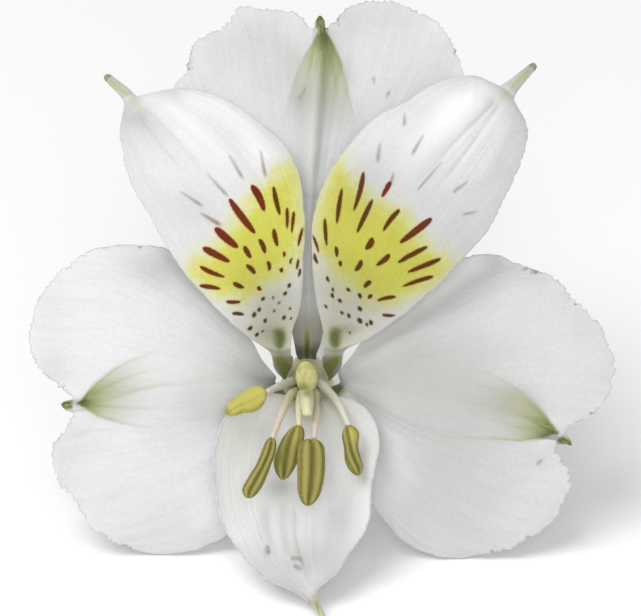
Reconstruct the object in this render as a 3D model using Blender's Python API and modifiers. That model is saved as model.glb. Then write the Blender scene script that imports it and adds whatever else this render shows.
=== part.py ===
"""A cut alstroemeria: one open flower on its pedicel, with the cut stem and its leaves, lying on a surface.

The flower leans back on the lobes of its two lateral outer tepals and on the tip of its lower inner
tepal, and the stem runs back from it along the surface. Metres, +Z up. The origin is on the surface,
under the middle of the whole.
"""

import math

import bmesh
import bpy
import numpy as np
from mathutils import Vector

# ---------------------------------------------------------------- driving dimensions, mm unless said
DRAW = 0.12                 # mm to one unit of the drawing, at the depth W_REF
W_REF = 18.0
EYE = 600.0                 # distance from which the drawing was made, from W_REF
CX, CY = 307.0, 384.0       # the throat's centre on the drawing
AX, AY = 320.5, 308.0       # the drawing's own centre
TILT = math.radians(25.0)   # how far the flower's axis is raised from the surface
HEIGHT = 14.54              # the throat's centre above the surface
SHIFT_X = -1.7              # these two put the origin under the middle of the whole
SHIFT_Y = -40.68
TEPAL_THICK = 0.45
LEAF_THICK = 0.45
OVARY_LENGTH = 9.0
OVARY_RADIUS = 3.3
OVARY_TOP = -0.35           # the tepals stand on it, with a small gap
PEDICEL_RADIUS = 1.0
STEM_RADIUS = 1.9           # at the cut end
STEM_RADIUS_TOP = 1.5


# ---------------------------------------------------------------- the flower's own frame
# u runs to the flower's right, v up, and w out of its throat towards the viewer, in mm.
# Outlines are given as (x, y, w): x and y on the drawing of the flower seen from the front,
# with y down, and w the depth at that point.
def local(p):
    """A point of the drawing (x, y, w), or an array of them, in the flower's (u, v, w)."""
    p = np.asarray(p, float)
    k = (EYE + W_REF - p[..., 2]) / EYE
    u = ((AX - CX) + (p[..., 0] - AX) * k) * DRAW
    v = ((CY - AY) - (p[..., 1] - AY) * k) * DRAW
    return np.stack([u, v, p[..., 2]], axis=-1)


def smooth_curve(points, t, knots=None):
    """A smooth curve through points, read at t from 0 to 1. Its knots follow the chord length."""
    p = np.asarray(points, float)
    k = chord_knots(p) if knots is None else np.asarray(knots, float)
    k = (k - k[0]) / (k[-1] - k[0])
    h = np.diff(k)
    slope = np.diff(p, axis=0) / h[:, None]
    m = np.empty_like(p)
    m[1:-1] = (slope[:-1] * h[1:, None] + slope[1:] * h[:-1, None]) / (h[:-1] + h[1:])[:, None]
    m[0], m[-1] = slope[0], slope[-1]
    t = np.clip(np.asarray(t, float), 0, 1)
    i = np.clip(np.searchsorted(k, t, side="right") - 1, 0, len(h) - 1)
    s = ((t - k[i]) / h[i])[..., None]
    a, b = p[i], p[i + 1]
    ma, mb = m[i] * h[i][..., None], m[i + 1] * h[i][..., None]
    return (2 * s**3 - 3 * s**2 + 1) * a + (s**3 - 2 * s**2 + s) * ma + (-2 * s**3 + 3 * s**2) * b + (s**3 - s**2) * mb


def chord_knots(p):
    """How far along a line each of its points lies. On the drawing, depth doesn't count."""
    flat = p[:, :2] if p.shape[1] > 1 else p
    return np.concatenate([[0], np.cumsum(np.maximum(np.linalg.norm(np.diff(flat, axis=0), axis=1), 1e-6))])


def smooth_step(x):
    x = np.clip(x, 0, 1)
    return x * x * (3 - 2 * x)


# How far an upper inner tepal stands out of the frame that its edges span, at shares of its length.
INNER_RISE = [(0, 0), (0.1, 0.9), (0.25, 2.3), (0.4, 3.6), (0.6, 4.6), (0.75, 3.6), (0.86, 1.1), (0.93, 0.45), (1, 0.2)]
# Each tepal: the ring angle and radius where its claw leaves the ovary, and the claw's half width there;
# the claw's middle (u, v, w) and half width; the claw's end from side a over the middle to side b;
# side a and side b from the claw's end outwards; and the margin between them. An outer tepal's tip is a
# short point in a notch of its margin, given by the indices where it begins, is and ends. An inner
# tepal's tip is drawn out beyond a neck, given by its index in side a and in side b.
TEPALS = {
    "outer_tepal_top": dict(
        ring=(90, 2.8, 1.1), mid=((-0.1, 3.55, 6.0), 1.25),
        claw_end=[(293.8, 341, 11.0), (307.5, 338, 11.2), (321.2, 341, 11.0)],
        side_a=[(293.8, 341, 11.0), (287, 311, 13.0), (272, 270, 14.2), (244, 220, 14.8), (212, 167, 14.0), (184, 120, 12.5), (171.5, 89.5, 11.4)],
        side_b=[(321.2, 341, 11.0), (328.5, 311, 13.0), (345, 270, 14.2), (375, 215, 14.8), (415, 160, 14.0), (448, 115, 12.6), (465, 78, 11.6)],
        margin=[(171.5, 89.5, 11.4), (178, 79.5, 11.2), (185, 74, 11.0), (188, 61, 10.8), (200, 40, 10.3), (224, 24, 10.0), (239, 9.5, 9.8), (262, 9, 10.0), (285, 11, 10.4),
                (300, 17, 11.2), (314, 28.5, 12.2), (316.5, 20, 13.4), (320, 15.5, 14.2), (324, 19.5, 13.4), (325.5, 28, 12.2), (333, 24, 11.6), (345, 11, 10.8),
                (365, 2.5, 10.2), (389, 1.5, 9.8), (416, 12.5, 9.8), (440, 24, 10.0), (453, 41, 10.4), (460, 60, 10.9), (465, 78, 11.6)],
        tip=(8, 10, 12), rise=[(0, 0), (0.1, 0.6), (0.25, 0.8), (0.4, 0.9), (0.6, 1.0), (0.8, 0.9), (0.9, 0.4), (1, 0)], side_rise=0.9),
    "outer_tepal_left": dict(
        ring=(210, 3.0, 1.1), mid=((-3.55, -1.3, 5.0), 1.6),
        claw_end=[(275, 375, 8.6), (269, 386, 8.0), (278, 400, 8.2)],
        side_a=[(275, 375, 8.6), (262, 359.5, 10.1), (251, 338, 11.0), (228, 305, 11.6), (200, 272, 12.0), (172, 250, 12.1), (146, 245, 12.3), (118, 243.5, 12.5)],
        side_b=[(278, 400, 8.2), (281, 435, 9.8), (270, 478, 10.8), (250, 512, 11.1), (228, 533.5, 10.9), (200, 547.5, 10.5), (162, 554.5, 10.3)],
        margin=[(118, 243.5, 12.5), (90, 249.5, 12.0), (66, 266, 12.0), (47, 286, 12.0), (33, 310, 12.5), (28.5, 330, 13.0), (32, 355, 13.5),
                (46, 373.5, 14.0), (60, 386, 14.5), (72.5, 398.5, 15.0), (66.5, 399.5, 13.8), (61.5, 404.5, 13.0), (66, 410.5, 13.8), (74, 413.5, 15.0), (71.5, 421, 14.8),
                (62, 434, 14.2), (52, 456, 13.5), (58, 481, 13.0), (74, 501, 12.6), (92, 527, 11.8), (118, 544, 11.1), (140, 552.5, 10.6), (162, 554.5, 10.3)],
        tip=(9, 11, 13), rise=[(0, 0), (0.15, 3.1), (0.3, 5.0), (0.5, 5.2), (0.7, 4.0), (0.85, 2.2), (1, 0)], side_rise=0.8),
    "outer_tepal_right": dict(
        ring=(330, 3.0, 1.1), mid=((3.65, -1.3, 5.0), 1.6),
        claw_end=[(337, 399, 8.2), (346, 385, 8.0), (339, 371, 8.6)],
        side_a=[(337, 399, 8.2), (341, 432, 9.8), (351, 470, 11.0), (364, 498, 11.6), (386, 521, 11.7), (412, 545, 11.5), (436, 555, 11.4), (460, 558.5, 11.3)],
        side_b=[(339, 371, 8.6), (352, 355.5, 10.1), (365, 338, 11.0), (390, 318, 11.6), (420, 292, 12.0), (448, 266, 12.1), (472, 254.5, 12.3), (500, 255.5, 12.5)],
        margin=[(460, 558.5, 11.3), (488, 554, 11.5), (513, 544, 12.0), (538, 533, 12.4), (552, 520, 12.6), (564, 501, 13.0), (568, 487, 13.3),
                (566, 468, 14.0), (558, 450, 14.8), (557.5, 441.5, 15.0), (563.5, 445.5, 13.8), (570, 444.5, 13.0), (570.5, 438, 13.6), (564.5, 430.5, 15.0), (584, 418, 14.5),
                (603, 404, 13.9), (611, 388, 13.5), (613.5, 366, 13.2), (609, 345, 12.8), (596, 320.5, 12.3), (575, 297, 12.0), (551, 277, 12.0), (526, 267, 12.0), (500, 255.5, 12.5)],
        tip=(9, 11, 13), rise=[(0, 0), (0.15, 3.1), (0.3, 5.0), (0.5, 5.2), (0.7, 4.0), (0.85, 2.2), (1, 0)], side_rise=0.8),
    "inner_tepal_upper_left": dict(
        ring=(157, 2.5, 0.95), mid=((-2.85, 2.4, 7.0), 1.6),
        claw_end=[(267.5, 349.5, 13.0), (280, 347, 12.2), (291, 351, 13.0)],
        side_a=[(267.5, 349.5, 13.0), (256, 342.5, 14.6), (240, 330.5, 16.0), (212, 304, 17.5), (183, 273, 18.5), (160, 236, 19.0), (144, 208, 19.2), (131, 181, 19.2), (123, 155, 19.0), (119.5, 134, 18.6),
                (121, 120, 18.2), (124.5, 109, 17.8), (126, 101.5, 17.4), (120.5, 95, 16.9), (112, 87.5, 16.0), (105, 80.5, 15.2)],
        side_b=[(291, 351, 13.0), (291, 336, 14.6), (297, 318, 16.0), (301.5, 300, 17.3), (302.5, 275, 18.5), (302.5, 245, 19.3), (303.5, 212, 19.8), (301.5, 182, 20.0), (294, 159, 20.0), (280, 141.5, 20.0),
                (258, 123, 19.8), (235, 106.5, 19.5), (208, 94, 19.0), (183, 87, 18.7), (165, 88.5, 18.4), (150, 94, 18.0), (140.5, 99, 17.4), (130, 90.5, 16.9), (120, 82, 16.0), (111, 75, 15.2)],
        margin=[(105, 80.5, 15.2), (103.8, 77.5, 14.9), (105.5, 75, 14.8), (108, 74, 14.9), (111, 75, 15.2)],
        neck=(12, 16), rise=INNER_RISE, side_rise=0.0),
    "inner_tepal_upper_right": dict(
        ring=(23, 2.5, 0.95), mid=((2.95, 2.4, 7.0), 1.6),
        claw_end=[(324, 350.5, 13.0), (336, 346.5, 12.2), (348, 347.5, 13.0)],
        side_a=[(324, 350.5, 13.0), (324, 336, 14.6), (318.5, 312, 16.6), (314, 284, 18.2), (312, 254, 19.2), (311.5, 236, 19.5), (313, 218, 19.8), (317, 203, 19.9), (324, 186, 20.0), (333, 168, 20.0), (344, 150, 20.0),
                (361, 130.5, 19.8), (379, 115, 19.6), (396, 106.5, 19.4), (416, 93, 19.2), (438, 82.5, 19.0), (461, 77, 18.7), (479, 77, 18.4), (490, 82.5, 18.0), (498, 89, 17.4), (507, 82, 16.9), (519, 72, 16.0), (530, 63.5, 15.2)],
        side_b=[(348, 347.5, 13.0), (363, 341.5, 14.6), (384, 328.5, 16.0), (400, 317, 16.9), (419, 302, 17.6), (437, 286, 18.2), (458, 263, 18.8), (479, 241, 19.0), (496, 218, 19.2), (507, 192, 19.2), (517, 173, 19.2),
                (525, 153, 19.0), (528, 138, 18.8), (526.5, 125, 18.4), (522, 113, 18.1), (517, 106, 17.8), (512, 98.5, 17.4), (519, 89, 16.9), (528, 79, 16.0), (536, 70, 15.2)],
        margin=[(530, 63.5, 15.2), (533.5, 62.5, 14.8), (536, 65, 14.8), (537, 67.5, 14.9), (536, 70, 15.2)],
        neck=(19, 16), rise=INNER_RISE, side_rise=0.0),
    "inner_tepal_lower": dict(
        ring=(270, 2.6, 0.95), mid=((0.0, -2.95, 3.9), 1.2),
        claw_end=[(293.5, 402, 8.0), (307, 407, 6.8), (320.5, 402, 8.0)],
        side_a=[(293.5, 402, 8.0), (276, 393.5, 12.4), (256, 395.5, 14.8), (237, 405, 17.0), (223, 421, 18.5), (216, 445, 19.3), (214.5, 468, 19.8), (216.5, 490, 20.0), (221, 515, 20.3), (229.5, 535, 20.8), (243, 557, 21.6),
                (259, 573, 22.4), (276, 583.5, 23.2), (291, 590, 23.9), (303, 596, 24.4), (311, 600.5, 24.9), (316.5, 608, 25.4), (320, 617, 25.8)],
        side_b=[(320.5, 402, 8.0), (333, 396.5, 11.8), (346, 398.5, 14.2), (358, 403, 16.4), (369, 412.5, 18.0), (377, 428, 19.0), (379.5, 446, 19.6), (376, 463, 19.9), (370.5, 478, 20.0), (369, 493, 20.1), (369.5, 512, 20.4), (366, 530, 20.9),
                (358.5, 542, 21.4), (350, 554, 22.0), (340, 570.5, 23.0), (327, 580.5, 23.8), (316.5, 588.5, 24.4), (318, 597.5, 24.9), (321.5, 608, 25.4), (325.5, 617, 25.8)],
        margin=[(320, 617, 25.8), (321.5, 621, 26.0), (323.5, 622.5, 26.0), (325.5, 620.5, 26.0), (325.5, 617, 25.8)],
        neck=(14, 16), rise=[(0, 0), (0.1, -2.6), (0.25, -5.2), (0.4, -5.4), (0.6, -4.0), (0.75, -2.4), (0.86, -0.9), (0.93, 0.3), (1, 0.15)], side_rise=0.0),
}
NECK = 0.86                 # the share of a blade's length at which a drawn-out tip begins
TIP_FROM = 0.78             # the share of a blade's length at which its tip begins to form
ROWS = (0.0, 0.05, 0.1, 0.16, 0.23, 0.31, 0.39, 0.47, 0.55, 0.63, 0.7, 0.76, 0.8, 0.835, 0.86, 0.885, 0.92, 0.96, 1.0)


def table(pairs, t):
    """Values at t of a smooth graph through (t, value) pairs."""
    return smooth_curve([[b] for _, b in pairs], t, knots=[a for a, _ in pairs])[..., 0]


def side_knots(points, neck):
    """How far along a side its points lie, with the neck at the same share on both sides."""
    k = chord_knots(np.asarray(points, float))
    return np.where(k <= k[neck], NECK * k / k[neck], NECK + (1 - NECK) * (k - k[neck]) / (k[-1] - k[neck]))


def blade(spec, r, v):
    """The blade's surface on the drawing: r from the claw's end to the margin, v from side a to side b."""
    margin = np.asarray(spec["margin"], float)
    foot = smooth_curve(spec["claw_end"], v)
    if "neck" in spec:
        edge, point = smooth_curve(margin, v), 0.0
        a, b = (smooth_curve(spec[side], r, side_knots(spec[side], neck)) for side, neck in zip(("side_a", "side_b"), spec["neck"]))
    else:
        knots = chord_knots(margin)
        lo, tip, hi = spec["tip"]
        cut = knots[tip] / knots[-1]
        t = np.where(v < 0.5, 2 * v * cut, cut + (2 * v - 1) * (1 - cut))
        # The same margin with its tip cut off in a low arch.
        blunt = margin.copy()
        for i in range(lo + 1, hi):
            s = (knots[i] - knots[lo]) / (knots[hi] - knots[lo])
            blunt[i] = margin[lo] + (margin[hi] - margin[lo]) * s + (margin[tip] - (margin[lo] + margin[hi]) / 2) * 0.5 * s * (1 - s)
        edge = smooth_curve(blunt, t, knots)
        point = smooth_curve(margin, t, knots) - edge
        a, b = smooth_curve(spec["side_a"], r), smooth_curve(spec["side_b"], r)
    a0, b0, a1, b1 = (np.array(spec[s][i], float) for i in (0, -1) for s in ("side_a", "side_b"))
    r, v = r[..., None], v[..., None]
    flat = (1 - v) * a + v * b + (1 - r) * foot + r * edge - ((1 - r) * ((1 - v) * a0 + v * b0) + r * ((1 - v) * a1 + v * b1))
    flat = flat + point * smooth_step((r - TIP_FROM) / (1 - TIP_FROM))
    r, v = r[..., 0], v[..., 0]
    across = np.sin(math.pi * v)
    flat[..., 2] += table(spec["rise"], r) * across**0.85
    flat[..., 2] += spec["side_rise"] * np.sin(2 * math.pi * v) ** 2 * np.sin(math.pi * np.clip(r, 0, 1))
    return flat


def tepal(name, u, v):
    """Points of a tepal in the flower's frame: u from its foot on the ovary to its margin, v from side a to side b."""
    spec = TEPALS[name]
    u, v = np.asarray(u, float), np.asarray(v, float)
    angle, radius, half = spec["ring"]
    a = math.radians(angle)
    out, along = np.array([math.cos(a), math.sin(a), 0]), np.array([-math.sin(a), math.cos(a), 0])
    ends = local(np.array(spec["claw_end"], float))
    if np.dot(ends[2] - ends[0], along) < 0:
        along = -along
    s = (2 * v - 1)[:, None]
    bow = 1 - s * s
    foot = out * radius + along * half * s + out * 0.35 * bow
    middle, wide = spec["mid"]
    across = ends[2] - ends[0]
    across[2] = 0
    across = across / np.linalg.norm(across) * 0.5 + along * 0.5
    away = np.array([middle[0], middle[1], 0]) / math.hypot(middle[0], middle[1])
    mid = np.array(middle) + across * wide * s + away * 0.75 * bow
    rows = np.array([foot, mid] + [local(blade(spec, np.full(len(v), r), v)) for r in ROWS])
    step = np.linalg.norm(np.diff(rows, axis=0), axis=2).mean(axis=1)
    k = np.concatenate([[0], np.cumsum(step)])
    flat = smooth_curve(rows.reshape(len(rows), -1), u, k)
    return flat.reshape(len(u), len(v), 3)


# Filaments: points (x, y, w), then the radius at the foot and at the end.
FILAMENTS = {
    "filament_1": ([(298.5, 381, 0.6), (294, 381, 8), (284, 384.5, 14), (275, 388, 17.2), (269, 391, 18.6)], 0.44, 0.38),
    "filament_2": ([(299, 390.5, 0.6), (295, 391, 9.0), (288.5, 398.5, 16.2), (281, 415, 20.9), (274, 433.5, 22.6)], 0.44, 0.36),
    "filament_3": ([(306, 395.8, 0.6), (303.8, 393, 8.2), (300, 399, 15.0), (299, 411, 19.0), (299, 421.5, 20.2)], 0.44, 0.36),
    "filament_4": ([(314.5, 390.5, 0.6), (315, 391, 8.6), (315.5, 400.5, 15.6), (316, 418, 20.4), (314.5, 434.5, 22.6)], 0.44, 0.36),
    "filament_5": ([(315, 381, 0.6), (318.5, 383, 8), (327, 390, 14), (339, 405, 18), (347, 421.5, 19.8)], 0.44, 0.38),
    "filament_6": ([(307, 373.5, 0.6), (307, 371, 8), (306.5, 371, 14), (306.5, 373.5, 19.0)], 0.44, 0.4),
}
STYLE = [(307, 384, 0.6), (307, 385, 6), (306.5, 389, 12), (306.5, 397, 18.0), (307, 406, 21.4), (307.5, 414.5, 22.8)]
STYLE_RADIUS = 0.36
# Anthers: the two edges on the drawing from the foot to the free end, the depth w of the middle at the
# foot and at the end, the thickness, and where the groove runs across the face at the foot and at the
# end, from -1 at edge a to 1 at edge b.
ANTHERS = {
    "anther_1": dict(a=[(266, 387.5), (258, 385.5), (246, 389.5), (236, 397), (228.5, 403), (224.5, 408)],
                     b=[(266.5, 399), (262, 406.5), (252, 412.5), (241, 414), (234, 416), (227, 417)], w=(19.0, 20.4), thick=2.1, groove=(0.1, 0.2)),
    "anther_2": dict(a=[(266.5, 437), (262, 450), (255.5, 465), (247.5, 478.5), (242, 490), (243, 498.5)],
                     b=[(277, 437), (276, 450), (271.8, 464), (267, 476), (261.5, 488), (254.5, 498.5)], w=(22.7, 22.9), thick=1.6, groove=(0.2, -0.15)),
    "anther_3": dict(a=[(291.5, 425.5), (284, 436), (277.5, 448), (274, 458), (274.8, 470), (278.5, 479.5)],
                     b=[(304.5, 425), (304.5, 436), (301.5, 449), (298, 461), (292.5, 472), (286.5, 480.5)], w=(20.5, 20.3), thick=1.9, groove=(-0.5, 0.25)),
    "anther_4": dict(a=[(299, 438.5), (297.3, 450), (297, 465), (297, 480), (298, 493), (302, 506)],
                     b=[(322.5, 438.5), (324.5, 450), (325, 465), (323.5, 480), (320.5, 493), (314, 506)], w=(23.2, 23.6), thick=2.2, groove=(0.15, 0.1)),
    "anther_5": dict(a=[(343.5, 425), (342, 436), (343.5, 446), (344, 455), (346.5, 465), (353, 475.5)],
                     b=[(355, 425), (359, 433), (358.5, 445), (360.5, 456), (363, 467), (362, 475.5)], w=(20.0, 20.6), thick=1.8, groove=(-0.6, 0.6)),
    "anther_6": dict(a=[(300, 362.5), (296.5, 369), (295.5, 376), (296.5, 383), (299, 390)],
                     b=[(312, 362.5), (316, 369), (317.5, 376), (317, 383), (314, 390)], w=(20.6, 21.8), thick=2.3, groove=(0.0, 0.0)),
}


def anther_frame(spec, t):
    """An anther's middle at shares t of its length, the way to edge b and the way out of its face, each as
    long as the body is there, and the groove's angle, from edge b round towards the face."""
    t = np.asarray(t, float)
    w = spec["w"][0] + (spec["w"][1] - spec["w"][0]) * t
    edges = []
    for key in ("a", "b"):
        p = smooth_curve(spec[key], t)
        edges.append(local(np.concatenate([p, w[:, None]], axis=1)))
    near, far = (smooth_curve(spec[key], np.array([0.0, 1.0])) for key in ("a", "b"))
    ends = (near + far) / 2
    axis = local(np.array([*ends[1], spec["w"][1]])) - local(np.array([*ends[0], spec["w"][0]]))
    axis /= np.linalg.norm(axis)
    blunt = np.maximum(0.0, 1 - np.abs(2 * t - 1) ** 10) ** 0.5
    side = (edges[1] - edges[0]) / 2 * blunt[:, None]
    face = np.cross(axis, side)
    face *= np.where(face[:, 2:] < 0, -1, 1)
    face *= (spec["thick"] / 2 * blunt / np.maximum(np.linalg.norm(face, axis=1), 1e-9))[:, None]
    groove = np.arccos(np.clip(spec["groove"][0] + (spec["groove"][1] - spec["groove"][0]) * t, -1, 1))
    return (edges[0] + edges[1]) / 2, side, face, groove


# The pedicel, the stem and the leaves, in mm from the throat's foot on the surface: x right, y back, z up.
PEDICEL = [(0.0, 8.75, 10.65), (0.0, 14, 8.35), (0.05, 21, 6.1), (0.1, 29, 4.7), (0.15, 37, 4.0), (0.3, 44.2, 3.75)]
STEM = [(0.33, 45.0, 3.72), (0.9, 56, 3.5), (1.6, 70, 3.0), (2.4, 85, 2.3), (3.3, 100, 1.95), (4.3, 117, 1.92)]
# Leaves: the midrib's points, the width, and the turn of the blade at its foot and its end, in degrees.
LEAVES = {
    "leaf_1": ([(-0.9, 49.0, 5.6), (-2.9, 54, 8.6), (-6.5, 63, 10.6), (-10.5, 74, 9.6), (-13.0, 84, 6.0), (-14.2, 91, 1.6)], 8.5, (70, 12)),
    "leaf_2": ([(3.35, 58.5, 4.6), (6.4, 63, 7.2), (11.0, 71, 9.6), (14.0, 81, 10.0), (15.6, 91, 7.4), (16.0, 99, 3.2)], 8.0, (-60, -10)),
    "leaf_3": ([(0.3, 79.0, 3.95), (-2.8, 83, 5.7), (-5.6, 90, 7.6), (-7.4, 98, 7.4), (-8.0, 105.5, 5.0)], 5.5, (60, 15)),
}


# ---------------------------------------------------------------- building
def material(name, colour, roughness):
    m = bpy.data.materials.new(name)
    m.use_nodes = True
    shader = m.node_tree.nodes["Principled BSDF"]
    shader.inputs["Base Color"].default_value = (*colour, 1)
    shader.inputs["Roughness"].default_value = roughness
    shader.inputs["Metallic"].default_value = 0.0
    m.diffuse_color = (*colour, 1)
    return m


def add(collection, name, data, mat, parent=None, smooth=True):
    obj = bpy.data.objects.new(name, data)
    collection.objects.link(obj)
    data.materials.append(mat)
    if parent:
        obj.parent = parent
    if smooth and obj.type == "MESH":
        data.shade_smooth()
    return obj


def moved_to(obj, origin):
    """Gives a mesh object its own origin, in mm of its parent's frame."""
    at = Vector(origin) * 0.001
    for vert in obj.data.vertices:
        vert.co -= at
    obj.location = at
    return obj


def sheet(name, surface, us, vs):
    """An open sheet: a grid whose rows and columns are laid on surface(us, vs)."""
    bm = bmesh.new()
    bmesh.ops.create_grid(bm, x_segments=len(us) - 1, y_segments=len(vs) - 1, size=0.5)
    at = surface(us, vs) * 0.001
    for vert in bm.verts:
        i = round((vert.co.x + 0.5) * (len(us) - 1))
        j = round((vert.co.y + 0.5) * (len(vs) - 1))
        vert.co = at[i, j]
    mesh = bpy.data.meshes.new(name)
    bm.to_mesh(mesh)
    bm.free()
    return mesh


def thicken(obj, thick):
    m = obj.modifiers.new("Solidify", "SOLIDIFY")
    m.thickness = thick * 0.001
    m.offset = 0
    m.use_even_offset = False
    return obj


def turned(name, rings, segments, place):
    """A round body: a sphere whose points are moved by place(height from -1 to 1, direction x, direction y)."""
    bm = bmesh.new()
    bmesh.ops.create_uvsphere(bm, u_segments=segments, v_segments=rings, radius=1)
    for vert in bm.verts:
        x, y, z = vert.co
        d = math.hypot(x, y)
        if d < 1e-5:
            x = y = 0.0
        else:
            x, y = x / d, y / d
        vert.co = Vector(place(z, x, y)) * 0.001
    if bm.calc_volume(signed=True) < 0:
        bmesh.ops.reverse_faces(bm, faces=bm.faces)
    mesh = bpy.data.meshes.new(name)
    bm.to_mesh(mesh)
    bm.free()
    return mesh


def tube(name, points, radii, sides_resolution=2):
    """A curve with a round section along points in mm, with its own radius at each point."""
    curve = bpy.data.curves.new(name, "CURVE")
    curve.dimensions = "3D"
    curve.bevel_depth = 0.001
    curve.bevel_resolution = sides_resolution
    curve.use_fill_caps = True
    spline = curve.splines.new("POLY")
    spline.points.add(len(points) - 1)
    for point, at, radius in zip(spline.points, points, radii):
        point.co = (*(float(c) * 0.001 for c in at), 1)
        point.radius = float(radius)
    return curve


def ovary_point(h, x, y):
    """Six ribs, three of them stronger, and a waist where the pedicel joins."""
    t = (h + 1) / 2                      # 0 at the pedicel, 1 under the tepals
    body = OVARY_RADIUS * table([(0, 0.30), (0.12, 0.42), (0.35, 0.86), (0.6, 1.0), (0.85, 0.99), (1.0, 0.93)], t)
    angle = math.atan2(y, x)
    ribs = 1 + 0.07 * math.cos(3 * (angle - math.pi / 2)) + 0.03 * math.cos(6 * (angle - math.pi / 2))
    w = OVARY_TOP - OVARY_LENGTH * (1 - t)
    return (float(body) * ribs * x, float(body) * ribs * y, w)


def anther_point(spec, h, x, y):
    """Two lobes along a bent and twisted axis, with a groove down the face."""
    t = np.array([(h + 1) / 2])
    at, side, face, groove = anther_frame(spec, t)
    angle = math.atan2(y, x)
    deep = 1 - 0.18 * math.exp(-((angle - groove[0]) / 0.4) ** 2)
    return at[0] + side[0] * (x * deep) + face[0] * (y * deep)


def leaf_surface(spec):
    line, width, (turn_foot, turn_end) = spec

    def surface(us, vs):
        t = np.asarray(us)
        mid = smooth_curve(line, t, chord_3d(line))
        ahead = np.gradient(mid, axis=0)
        ahead /= np.linalg.norm(ahead, axis=1)[:, None]
        side = np.cross(ahead, [0, 0, 1.0])
        side /= np.linalg.norm(side, axis=1)[:, None]
        up = np.cross(side, ahead)
        turn = np.radians(turn_end + (turn_foot - turn_end) * (1 - smooth_step(t / 0.35)))
        across = side * np.cos(turn)[:, None] + up * np.sin(turn)[:, None]
        normal = np.cross(across, ahead)
        half = width / 2 * table([(0, 0.24), (0.1, 0.26), (0.25, 0.62), (0.45, 1.0), (0.7, 0.86), (0.88, 0.45), (1, 0.07)], t)
        s = 2 * np.asarray(vs) - 1
        lift = 0.16 * half[:, None] * np.abs(s[None, :]) ** 1.5
        return mid[:, None] + across[:, None] * (half[:, None] * s[None, :])[..., None] + normal[:, None] * lift[..., None]

    return surface


def chord_3d(points):
    p = np.asarray(points, float)
    return np.concatenate([[0], np.cumsum(np.linalg.norm(np.diff(p, axis=0), axis=1))])


def main():
    for obj in list(bpy.data.objects):
        bpy.data.objects.remove(obj, do_unlink=True)
    flower_parts = bpy.data.collections.new("alstroemeria_stem")
    bpy.context.scene.collection.children.link(flower_parts)

    white = material("tepal_white", (0.86, 0.87, 0.87), 0.5)
    guide = material("tepal_guide", (0.86, 0.85, 0.62), 0.5)
    olive = material("anther_olive", (0.30, 0.27, 0.08), 0.75)
    pale = material("filament_pale", (0.80, 0.78, 0.60), 0.45)
    green = material("stem_green", (0.16, 0.30, 0.07), 0.5)
    leaf_green = material("leaf_green", (0.09, 0.22, 0.04), 0.5)

    throat = bpy.data.objects.new("throat", None)
    flower_parts.objects.link(throat)
    throat.location = (SHIFT_X * 0.001, SHIFT_Y * 0.001, HEIGHT * 0.001)
    throat.rotation_euler = (math.pi / 2 - TILT, 0, 0)
    ground = bpy.data.objects.new("ground", None)
    flower_parts.objects.link(ground)
    ground.location = (SHIFT_X * 0.001, SHIFT_Y * 0.001, 0)

    columns = 0.5 + 0.5 * np.array([-1, -0.86, -0.7, -0.54, -0.38, -0.22, -0.11, -0.05, 0, 0.05, 0.11, 0.22, 0.38, 0.54, 0.7, 0.86, 1])
    rows = np.array([0, 0.05, 0.11, 0.18, 0.25, 0.33, 0.41, 0.5, 0.59, 0.68, 0.76, 0.83, 0.89, 0.94, 0.975, 1])
    drawn_out = np.array([0, 0.05, 0.11, 0.18, 0.25, 0.33, 0.41, 0.5, 0.59, 0.67, 0.74, 0.8, 0.85, 0.885, 0.91, 0.93, 0.955, 0.98, 1])
    for name, spec in TEPALS.items():
        mesh = sheet(name, lambda us, vs, n=name: tepal(n, us, vs), drawn_out if "neck" in spec else rows, columns)
        mat = guide if name.startswith("inner_tepal_upper") else white
        thicken(add(flower_parts, name, mesh, mat, throat), TEPAL_THICK)

    for name, (points, foot, end) in FILAMENTS.items():
        t = np.linspace(0, 1, 10)
        line = local(smooth_curve(points, t, chord_3d(local(points))))
        add(flower_parts, name, tube(name, line, foot + (end - foot) * t), pale, throat)
    for name, spec in ANTHERS.items():
        mesh = turned(name, 10, 12, lambda h, x, y, s=spec: anther_point(s, h, x, y))
        moved_to(add(flower_parts, name, mesh, olive, throat), anther_frame(spec, np.array([0.0]))[0][0])
    t = np.array([0, 0.14, 0.28, 0.42, 0.56, 0.7, 0.82, 0.9, 0.96, 1])
    line = local(smooth_curve(STYLE, t, chord_3d(local(STYLE))))
    add(flower_parts, "style", tube("style", line, STYLE_RADIUS * (1 + 0.25 * smooth_step((t - 0.75) / 0.15))), pale, throat)
    add(flower_parts, "ovary", turned("ovary", 12, 24, ovary_point), green, throat)

    t = np.linspace(0, 1, 18)
    line = smooth_curve(PEDICEL, t, chord_3d(PEDICEL))
    radii = PEDICEL_RADIUS * (1 + 0.12 * (1 - smooth_step(t / 0.25)) + 0.25 * smooth_step((t - 0.85) / 0.15))
    add(flower_parts, "pedicel", tube("pedicel", line, radii), green, ground)
    t = np.linspace(0, 1, 22)
    line = smooth_curve(STEM, t, chord_3d(STEM))
    radii = STEM_RADIUS_TOP + (STEM_RADIUS - STEM_RADIUS_TOP) * smooth_step(t * 1.1) + 0.25 * np.exp(-((t - 0.03) / 0.03) ** 2)
    add(flower_parts, "stem", tube("stem", line, radii, 3), green, ground)
    for name, spec in LEAVES.items():
        mesh = sheet(name, leaf_surface(spec), np.linspace(0, 1, 16), np.linspace(0, 1, 7))
        thicken(add(flower_parts, name, mesh, leaf_green, ground), LEAF_THICK)


main()
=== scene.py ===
"""The finished look of the cut alstroemeria: every petal, stamen, leaf and stem as a fine surface of its own."""
import math

import bpy
import numpy as np
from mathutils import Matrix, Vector
from mathutils.kdtree import KDTree

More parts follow.
